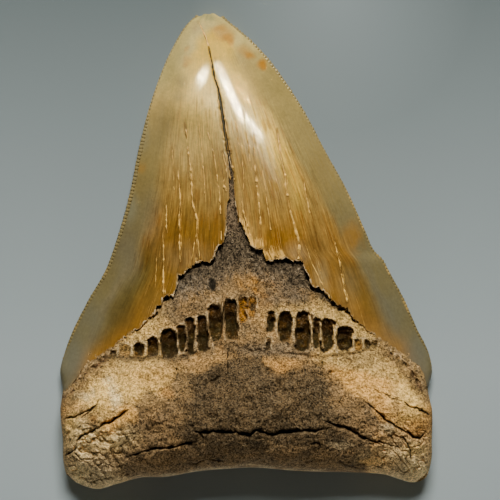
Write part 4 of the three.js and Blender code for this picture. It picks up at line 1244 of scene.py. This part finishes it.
class FOSSIL_OT_root(bpy.types.Operator):
    """Make the root and the band below the enamel, with pits and cracks"""

    bl_idname = "fossil.root"
    bl_label = "Root"

    def execute(self, context):
        sizes = context.scene.fossil_tooth_sizes
        enamel = sizes.enamel / MM
        columns, rows = 352, 224
        sheets = []
        for is_upper in (True, False):
            piece, s, t = sheet_of(columns, rows)
            s = s * (1.16 - 0.16 * s * s)
            t = t**1.12

            def row(at):
                foot = along(FOOT, at)
                return foot + (along(ROOT_END, at) - foot) * t

            y_left, y_right = row(-46.0), row(46.0)
            left = along(LEFT_EDGE, y_left) + 1.3 * smooth(-35.5, -33, y_left)
            right = along(RIGHT_EDGE, y_right) - 1.3 * smooth(-35.5, -33, y_right)
            x = (left + right) / 2 + s * (right - left) / 2
            y = row(x)
            border = (np.abs(s) > 0.9999) | (t < 1e-4) | (t > 0.9999)
            rim = along(EDGE_HEIGHT, y) - 0.3
            top = np.where(np.abs(s) > 0.9999, rim, core_top(x, y, enamel))
            if is_upper:
                z = top + self.relief(x, y, sizes.grain / MM) * ~border
            else:
                low = core_under(x, y, enamel) + 0.15 * layered(x, y, 4, 131) * smooth(6, 0, z_gap(x, y))
                z = np.where(border, top, np.maximum(low, 0))
            move_points(piece, np.column_stack((x, y, z)) * MM)
            sheets.append(piece)
        root = closed_from(
            *sheets,
            "root_and_band",
            0.14,
            lambda x, y, z: (z < along(EDGE_HEIGHT, y) - 0.9) & (np.abs(x) < 42),
        )
        soften(root, 60)
        self.paint(context, root)
        hand_over(root, root_material())
        return {"FINISHED"}

    def relief(self, x, y, grain):
        """Pits, cracks, trough and grain in millimetres."""
        pits, _, _, _, _ = near_pits(x, y)
        cracks, _ = crack_depth(x, y, ROOT_CRACKS)
        border = border_distance(x, y)
        trough = 0.14 * np.exp(-((border / 0.6) ** 2)) * smooth(30, 20, np.abs(x))
        trough = trough * smooth(-0.5, 0.4, noise(x, y, 1.3, 129))
        trough = trough + 0.35 * self.end_groove(x, y, border)
        fade = smooth(0, 2.5, y - along(FOOT, x)) * smooth(0, 0.06, 1 - np.abs(across(x, y)))
        rough = grain * (1.6 * layered(x, y, 1.2, 111) + 1.2 * noise(x, y, 0.55, 115))
        lobes = smooth(24, 32, np.abs(x)) * smooth(-41, -46, y)
        worn = 0.55 * layered(x, y, 6, 121) + (0.5 + 0.4 * lobes) * layered(x, y, 2.8, 125)
        folds = np.abs(noise(x + 0.8 * y, y - 0.3 * x, 1.9, 122))
        worn = worn - 0.5 * lobes * smooth(0.14, 0.02, folds)
        worn = worn * smooth(-22, -30, y)
        ledge, _ = near_line(x, y + 0.5 * noise(x, y, 1.8, 127), LEDGE)
        worn = worn - 0.45 * np.exp(-((ledge / 0.4) ** 2))
        for cx, cy, rx, ry in UNDERCUTS:
            dent = patch(x, y, cx, cy, rx, ry, 0.3) * smooth(0.2, 0.5, border)
            worn = worn - 0.8 * dent
        pores = smooth(0.55, 0.85, noise(x, y, 0.8, 117)) * 0.2 * smooth(-24, -28, y)
        rim = 0.15 * np.exp(-((np.clip(pits, 0, 9) - 0.3) ** 2) / 0.06) * (pits > 0.02)
        return (rough + worn - pores) * fade - pits - cracks * fade - trough + rim

    def end_groove(self, x, y, border):
        """Beaded groove below the enamel at both ends of the root, from 0 to 1."""
        beads = smooth(-0.3, 0.4, noise(x, y, 1.1, 128))
        return np.exp(-(((border - 1.5) / 0.5) ** 2)) * smooth(31, 36, np.abs(x)) * beads

    def paint(self, context, root):
        colours = context.scene.fossil_tooth_colours
        x, y, z = places(root).T / MM
        steep = smooth(9, 2, y - along(FOOT, x))
        v = y - steep * (crown_top(x, along(FOOT, x) + 9) - z)
        warp_x = x + 1.7 * layered(x, v, 6, 141) + 0.5 * layered(x, v, 1.3, 142)
        warp_y = y + 1.3 * layered(x, v, 5, 145) + 0.5 * layered(x, v, 1.3, 146)
        upper = smooth(-1, 1, z - along(EDGE_HEIGHT, y))
        border = border_distance(x, y)
        _, shade, amber, rims, heads = near_pits(x, y)
        _, cracks = crack_depth(x, y, ROOT_CRACKS)
        everywhere = np.ones(len(x))
        paint = np.tile(np.array(colours.tan[:]), (len(x), 1))
        paint = mix(paint, colours.rust, 0.5 * smooth(-0.1, 0.6, layered(x, v, 7, 151)))
        for name, share, cx, cy, rx, ry in ROOT_PATCHES:
            spot = patch(warp_x, warp_y, cx, cy, rx, ry, 0.7)
            paint = mix(paint, getattr(colours, name)[:], share * spot)
        mottled = smooth(-0.5, 0.5, layered(x, v, 3.2, 152))
        below = smooth(-25, -26, y)
        outer = inside(warp_x, warp_y, STAIN, 0.7) * (0.76 + 0.16 * mottled)
        paint = mix(paint, colours.haze, outer * below)
        inner = inside(warp_x, warp_y, DEEP_STAIN, 1.8) * (0.82 + 0.12 * mottled)
        # The deep stain fades towards the foot: painted light that makes up for the lamps leaving the lower root dark.
        inner = inner * (1 - 0.55 * smooth(-46.5, -50, y + noise(x, v, 4, 147)))
        paint = mix(paint, colours.dark, inner * below)
        for name, share, cx, cy, rx, ry in ROOT_SPOTS:
            spot = patch(warp_x, warp_y, cx, cy, rx, ry, 0.6)
            paint = mix(paint, getattr(colours, name)[:], share * spot)
        above_foot = y - along(FOOT, x) + 0.3 * noise(x, v, 1.5, 148)
        pale_rim = smooth(1.5, 0.4, above_foot) * smooth(-0.6, 0.2, noise(x, v, 3, 149))
        paint = mix(paint, (0.42, 0.32, 0.18), 0.65 * pale_rim * smooth(30, 24, np.abs(x)))
        # the strip from the pits up to the enamel
        strip = smooth(-27.5, -25.5, y + 0.5 * noise(x, y, 2, 152) + 0.0045 * x * x)
        strip = strip * smooth(-0.4, 0.4, z - along(EDGE_HEIGHT, y))
        sandy = mix(paint, colours.sand, everywhere)
        sandy = mix(sandy, colours.tan, smooth(-0.3, 0.5, noise(x * 1.6, y, 1.8, 153)) * 0.6)
        sandy = mix(sandy, colours.cream, 0.5 * smooth(15, 23, np.abs(x + 1)))
        sandy = mix(sandy, colours.tan, 0.35 * patch(warp_x, warp_y, 4, -19, 2.6, 4.2, 0.7))
        sandy = mix(sandy, (0.12, 0.08, 0.04), 0.6 * patch(warp_x, warp_y, -18, -15.4, 5.5, 2.2, 0.7))
        sandy = mix(sandy, (0.12, 0.078, 0.036), 0.6 * patch(warp_x, warp_y, -10, -11.5, 5, 3.6, 0.8))
        sandy = mix(sandy, (0.2, 0.135, 0.06), 0.45 * patch(warp_x, warp_y, -30, -26.3, 4, 2.2, 0.8))
        sandy = mix(sandy, (0.09, 0.07, 0.04), 0.35 * patch(warp_x, warp_y, 7, -26.3, 4, 2, 0.8))
        sandy = mix(sandy, colours.cream, 0.35 * patch(warp_x, warp_y, 20, -20.5, 6, 3.2, 0.8))
        for cx, cy, rx, ry in ((-0.6, -8, 2.8, 1.6), (3.4, -9.6, 1.2, 2.2), (-8.2, -11.4, 0.8, 0.9),
                               (6.8, -8.6, 1.2, 1), (5.5, -12.5, 1.4, 1.4)):
            fleck = 0.25 + 0.75 * smooth(-0.3, 0.4, noise(x, y, 0.9, 170))
            sandy = mix(sandy, (0.3, 0.125, 0.014), 0.75 * fleck * patch(warp_x, warp_y, cx, cy, rx, ry, 0.8))
        limit = np.interp(x, *np.array(BAND_LOW).T)
        wavy = 1.3 * layered(x, y, 3, 154) + 0.5 * noise(x, y, 0.7, 155)
        dark_band = smooth(-1.3, 1.3, y - limit + wavy) * smooth(25, 22, np.abs(x))
        grey = smooth(-4.5, -1, y - limit + 1.4 * wavy) * smooth(20, 13, np.abs(x + 2))
        sandy = mix(sandy, (0.115, 0.088, 0.055), 0.6 * grey)
        sandy = mix(sandy, colours.band, 0.92 * dark_band)
        for cx, cy, rx, ry in ((-14, -7, 5, 3), (-1, -2.6, 4, 2.4)):
            sandy = mix(sandy, (0.045, 0.033, 0.019), 0.4 * patch(warp_x, warp_y, cx, cy, rx, ry, 0.8))
        flecks = smooth(0.3, 0.7, noise(x * 1.8, y, 0.6, 156)) * np.maximum(dark_band, grey)
        sandy = mix(sandy, (0.26, 0.19, 0.11), 0.5 * flecks)
        fibres = smooth(-0.1, 0.6, noise(x * 4 + y * 1.5, y, 0.9, 157))
        scuffed = patch(warp_x, y, -12.6, -9.2, 3.8, 2.6, 0.8) * fibres
        sandy = mix(sandy, (0.36, 0.29, 0.2), 0.28 * scuffed)
        sandy = mix(sandy, (0.38, 0.24, 0.1), 0.85 * patch(warp_x, warp_y, -5.2, -13.2, 3.4, 2.8, 0.8))
        sandy = mix(sandy, colours.cream, 0.38 * patch(warp_x, warp_y, 15, -16.2, 8.5, 2.8, 0.7))
        sandy = mix(sandy, (0.11, 0.08, 0.042), 0.4 * patch(warp_x, warp_y, 1, -20.5, 3, 3, 0.8))
        sandy = mix(sandy, (0.2, 0.135, 0.06), 0.5 * patch(warp_x, warp_y, 28, -26.6, 5.5, 2.6, 0.8))
        slit = smooth(2, 6, y) * smooth(3, 1.5, np.abs(x + 3.7))
        sandy = mix(sandy, (0.136, 0.091, 0.049), 0.75 * slit)
        inner, _ = near_line(x, y, MIDLINE)
        sandy = mix(sandy, (0.008, 0.005, 0.003), smooth(1.2, 0.8, inner) * smooth(19.5, 22, y))
        # Painted shadow under the broken edge of the enamel: a dark line along it, a near-black pocket, and the
        # hollows below it painted near black.
        undercut_shadow = np.exp(-((border / np.where(x > 13, 0.14, 0.22)) ** 2)) * smooth(-0.25, 0.35, noise(x, y, 1.1, 159))
        sandy = mix(sandy, (0.03, 0.02, 0.011), 0.8 * undercut_shadow * smooth(30, 22, np.abs(x)))
        sandy = mix(sandy, (0.02, 0.016, 0.01), patch(x, y, -8.3, -8.6, 1.0, 1.7, 0.3))
        for cx, cy, rx, ry in UNDERCUTS:
            dent = patch(x + 0.2 * noise(x, y, 0.6, 165), y, cx, cy, rx, ry, 0.25)
            sandy = mix(sandy, (0.008, 0.006, 0.004), 0.95 * dent)
        sandy = mix(sandy, (0.07, 0.048, 0.026), 0.75 * patch(warp_x, y, 2.5, -24.8, 8, 2.2, 0.7))
        sandy = mix(sandy, (0.2, 0.14, 0.075), 0.6 * patch(x, warp_y, 10, -24.9, 9, 1.3))
        sandy = mix(sandy, (0.12, 0.09, 0.055), 0.6 * patch(warp_x, warp_y, 10.5, -12, 6, 2.6))
        for px, top, low in ((10.6, -10.5, -14.5), (14.5, -11.2, -14), (6, -21, -25), (16.4, -15.5, -19)):
            line = np.exp(-(((x - px - 0.2 * noise(x, y, 1.2, 166)) / 0.22) ** 2))
            sandy = mix(sandy, (0.03, 0.02, 0.01), 0.7 * line * smooth(low, low + 1, y) * smooth(top, top - 1, y))
        broken = smooth(-0.5, 0.3, noise(x, y, 1.1, 168))
        sandy = mix(sandy, (0.5, 0.35, 0.17), 0.8 * rims * (0.45 + 0.55 * broken))
        share = strip[:, None]
        paint = paint * (1 - share) + sandy * share
        ends = smooth(30, 35, np.abs(x)) * upper
        shadow = smooth(4.6, 2.8, border + noise(x, y, 2, 169)) * ends
        paint = mix(paint, (0.15, 0.09, 0.038), 0.75 * shadow)
        crumbs = smooth(1.7, 0.9, border) * smooth(-0.4, 0.3, noise(x, y, 0.9, 167))
        paint = mix(paint, (0.34, 0.22, 0.1), 0.6 * crumbs * ends)
        paint = mix(paint, (0.1, 0.05, 0.022), 0.85 * self.end_groove(x, y, border) * upper)
        glint = amber * smooth(0.0, 0.6, noise(x, y, 1.0, 158) + 0.5 * amber)
        deep = mix(paint, colours.hollow, everywhere)
        olive_floor = smooth(-0.3, 0.5, noise(x * 2.2, y, 1.6, 163)) * smooth(0, 0.8, shade)
        deep = mix(deep, (0.034, 0.024, 0.007), 0.6 * olive_floor)
        # The upper ends of the pits are painted a lighter reddish brown: partly their own colour, partly painted light
        # that softens the cast shadow there.
        deep = mix(deep, (0.06, 0.026, 0.007), 0.8 * heads)
        deep = mix(deep, (0.24, 0.1, 0.01), np.where(amber > 0.6, 0.85, 0.4) * glint)
        share = (np.clip(shade * 1.25, 0, 1) * upper)[:, None]
        paint = paint * (1 - share) + deep * share
        paint = mix(paint, colours.hole, np.clip(cracks * 1.2, 0, 1) * upper)
        ledge, _ = near_line(x, y + 0.5 * noise(x, y, 1.8, 127), LEDGE)
        shaded = np.where(x < -14, 0.85 * np.exp(-((ledge / 0.8) ** 2)), 0.45 * np.exp(-((ledge / 0.4) ** 2)))
        paint = mix(paint, (0.075, 0.048, 0.022), shaded * upper * (1 - 0.8 * rims))
        speckle = 0.3 * layered(x, v, 0.7, 161) + 0.12 * layered(x, v, 3, 164)
        paint = paint * np.clip(1 + speckle, 0.3, 1.8)[:, None]
        store(root, "Paint", np.column_stack((np.clip(paint, 0, 1), np.ones(len(x)))))


def z_gap(x, y):
    return along(EDGE_HEIGHT, y) - crown_under(x, y)


class FOSSIL_OT_serrations(bpy.types.Operator):
    """Make the beads along both cutting edges"""

    bl_idname = "fossil.serrations"
    bl_label = "Serrations"

    def execute(self, context):
        sizes = context.scene.fossil_tooth_sizes
        pitch = sizes.serration_pitch / MM
        random = np.random.default_rng(17)
        beads = []
        bpy.ops.object.select_all(action="DESELECT")
        bpy.ops.mesh.primitive_uv_sphere_add(segments=8, ring_count=6, radius=0.5)
        model = bpy.context.object
        shape = places(model)
        for edge, side in ((LEFT_EDGE, -1), (RIGHT_EDGE, 1)):
            heights = np.linspace(-33.4, TIP - 0.5, 900)
            line = along(edge, heights)
            run = np.concatenate(([0], np.cumsum(np.hypot(np.diff(line), np.diff(heights)))))
            count = int(run[-1] / pitch)
            ys = np.interp(np.arange(count) * pitch, run, heights)
            for y in ys:
                x = float(along(edge, y))
                slope = float(along(edge, y + 0.2) - along(edge, y - 0.2)) / 0.4
                turn = math.atan(-slope)
                size = sizes.serration_size * (0.9 + 0.25 * random.random())
                points = shape * (size * 1.6, size * 1.6, size * 0.55)
                spin = np.array(
                    ((math.cos(turn), -math.sin(turn), 0), (math.sin(turn), math.cos(turn), 0), (0, 0, 1))
                )
                points = points @ spin.T
                inset = 0.5 + 0.08 * random.random()
                lifted = 0.2 if side > 0 else 0.09
                place = (x - side * inset, y, float(along(EDGE_HEIGHT, y)) + lifted)
                bead = bpy.data.objects.new("bead", model.data.copy())
                bpy.context.collection.objects.link(bead)
                move_points(bead, points + np.array(place) * MM)
                beads.append(bead)
        bpy.data.objects.remove(model)
        only(*beads)
        bpy.ops.object.join()
        serrations = bpy.context.object
        serrations.name = serrations.data.name = "serrations"
        soften(serrations, 80)
        x, y, z = places(serrations).T / MM
        colours = context.scene.fossil_tooth_colours
        paint = np.tile(np.array((0.3, 0.225, 0.085)), (len(x), 1))
        paint = mix(paint, colours.olive, 0.6 * smooth(30, -20, y))
        lit = smooth(0, 0.6, noise(x, y, 3, 171))
        # The left beads get fewer pale chips and are painted darker: painted shade, as the lamps catch the left edges
        # more.
        paint = mix(paint, colours.chips, np.where(x > 0, 0.3, 0.16) * lit)
        paint = mix(paint, (0.2, 0.16, 0.06), np.where(x > 0, 0.0, 0.3))
        store(serrations, "Paint", np.column_stack((paint, np.ones(len(x)))))
        store(serrations, "Fan", np.column_stack((x, y, z)))
        store(serrations, "Streak", np.zeros(len(x)))
        store(serrations, "Dull", np.where(x > 0, 0.4, 0.7))
        hand_over(serrations, bpy.data.materials["Enamel"])
        return {"FINISHED"}


class FOSSIL_OT_stage(bpy.types.Operator):
    """Make the floor, the lights and the camera"""

    bl_idname = "fossil.stage"
    bl_label = "Stage"

    def execute(self, context):
        stage = context.scene.fossil_tooth_stage
        bpy.ops.object.select_all(action="DESELECT")
        bpy.ops.mesh.primitive_plane_add(size=6)
        floor = bpy.context.object
        floor.name = floor.data.name = "floor"
        material, tree, shader = start_material("Floor")
        here = add_node(tree, "ShaderNodeTexCoord", (-300, 0))
        split = add_node(tree, "ShaderNodeSeparateXYZ", (-100, 0))
        link(tree, here.outputs["Object"], split.inputs["Vector"])
        # Painted shade: the floor darkens beyond the tip, standing in for the light falling off there.
        fade = value_range(tree, split.outputs["Y"], (100, 0), (-0.03, 0.062, 0, 1))
        blend = add_node(tree, "ShaderNodeMix", (350, 0), data_type="RGBA")
        blend.inputs["A"].default_value = (*stage.floor[:], 1)
        blend.inputs["B"].default_value = (*stage.distance[:], 1)
        link(tree, fade.outputs["Result"], blend.inputs["Factor"])
        # Painted light: a lighter round pool on the floor beside the tip.
        away = add_node(tree, "ShaderNodeVectorMath", (-100, 300), operation="DISTANCE")
        link(tree, here.outputs["Object"], away.inputs[0])
        away.inputs[1].default_value = (0.022, 0.066, 0)
        painted_light_pool = value_range(tree, away.outputs["Value"], (100, 300), (0.004, 0.036, 0.45, 0))
        glow = add_node(tree, "ShaderNodeMix", (500, 200), data_type="RGBA")
        link(tree, painted_light_pool.outputs["Result"], glow.inputs["Factor"])
        link(tree, blend.outputs["Result"], glow.inputs["A"])
        glow.inputs["B"].default_value = (*stage.floor[:], 1)
        link(tree, glow.outputs["Result"], shader.inputs["Base Color"])
        shader.inputs["Roughness"].default_value = 0.9
        shader.inputs["Specular IOR Level"].default_value = 0.1
        floor.data.materials.append(material)
        key = self.lamp("key", (0.04, 0.75, 0.54), (0, -0.01, 0), 0.45, stage.key)
        overhead = self.lamp("overhead", (0.03, 0.47, 0.78), (0, -0.01, 0), 0.36, stage.overhead)
        pieces = [piece for piece in context.scene.objects if piece.type == "MESH" and piece != floor]
        self.shine_only_on(key, "tooth_light", pieces)
        self.shine_only_on(overhead, "floor_light", [floor])
        fill = self.lamp("fill", (0, -0.9, 0.06), (0, 0, 0), 0.2, stage.fill)
        glint = self.lamp("glint", (0.03, 0.36, 0.575), (-0.002, 0.037, 0.01), 0.03, stage.glint)
        side_glint = self.lamp(
            "side_glint", (-0.19, 0.343, 0.557), (-0.0108, 0.043, 0.009), 0.03, stage.glint * 3.3
        )
        for polarised in (key, fill):
            polarised.visible_glossy = False
        for mirrored in (glint, side_glint):
            mirrored.visible_diffuse = False
        self.narrow(glint, 3.6)
        self.narrow(side_glint, 1.9)
        world = bpy.data.worlds.new("Studio")
        world.use_nodes = True
        world.node_tree.nodes["Background"].inputs["Color"].default_value = (0.8, 0.9, 0.95, 1)
        world.node_tree.nodes["Background"].inputs["Strength"].default_value = 0.026
        context.scene.world = world
        bpy.ops.object.camera_add(location=(0.001, 0, 0.9), rotation=(0, 0, 0))
        camera = bpy.context.object
        camera.data.sensor_width = 36
        camera.data.lens = 36 * 0.894 / 0.125
        context.scene.camera = camera
        return {"FINISHED"}

    def lamp(self, name, place, aim, size, power):
        bpy.ops.object.light_add(type="AREA", location=place)
        lamp = bpy.context.object
        lamp.name = name
        lamp.data.shape = "DISK"
        lamp.data.size = size
        lamp.data.energy = power
        way = lamp.location - type(lamp.location)(aim)
        lamp.rotation_euler = way.to_track_quat("Z", "Y").to_euler()
        return lamp

    def shine_only_on(self, lamp, name, pieces):
        """Lets a lamp light some pieces alone."""
        lit = bpy.data.collections.new(name)
        for piece in pieces:
            lit.objects.link(piece)
        lamp.light_linking.receiver_collection = lit

    def narrow(self, lamp, degrees):
        """Turns a lamp into a spot that only gives a highlight."""
        size, power = lamp.data.size, lamp.data.energy
        lamp.data.type = "SPOT"
        spot = lamp.data
        spot.shadow_soft_size = size / 2
        spot.spot_size = math.radians(degrees)
        spot.spot_blend = 1.0
        spot.energy = 4 * power
        spot.color = (1, 0.84, 0.48)


class FOSSIL_PT_panel(bpy.types.Panel):
    """Lists the pieces of the tooth with their sizes and colours"""

    bl_idname = "FOSSIL_PT_panel"
    bl_label = "Fossil tooth"
    bl_space_type = "VIEW_3D"
    bl_region_type = "UI"
    bl_category = "Fossil"

    def draw(self, context):
        scene = context.scene
        for group in (scene.fossil_tooth_sizes, scene.fossil_tooth_colours, scene.fossil_tooth_stage):
            box = self.layout.box()
            for name in group.__annotations__:
                box.prop(group, name)
        for operator in OPERATORS:
            self.layout.operator(operator.bl_idname)


GROUPS = {
    "fossil_tooth_sizes": FossilToothSizes,
    "fossil_tooth_colours": FossilToothColours,
    "fossil_tooth_stage": FossilToothStage,
}
OPERATORS = (
    FOSSIL_OT_crown, FOSSIL_OT_splits, FOSSIL_OT_root, FOSSIL_OT_serrations, FOSSIL_OT_stage,
)


def register():
    for kind in (*GROUPS.values(), *OPERATORS, FOSSIL_PT_panel):
        bpy.utils.register_class(kind)
    for name, kind in GROUPS.items():
        setattr(bpy.types.Scene, name, bpy.props.PointerProperty(type=kind))


def unregister():
    for name in GROUPS:
        delattr(bpy.types.Scene, name)
    for kind in (FOSSIL_PT_panel, *OPERATORS, *GROUPS.values()):
        bpy.utils.unregister_class(kind)


def main():
    register()
    bpy.ops.fossil.crown()
    bpy.ops.fossil.splits()
    bpy.ops.fossil.root()
    bpy.ops.fossil.serrations()
    bpy.ops.fossil.stage()


if __name__ == "__main__":
    main()
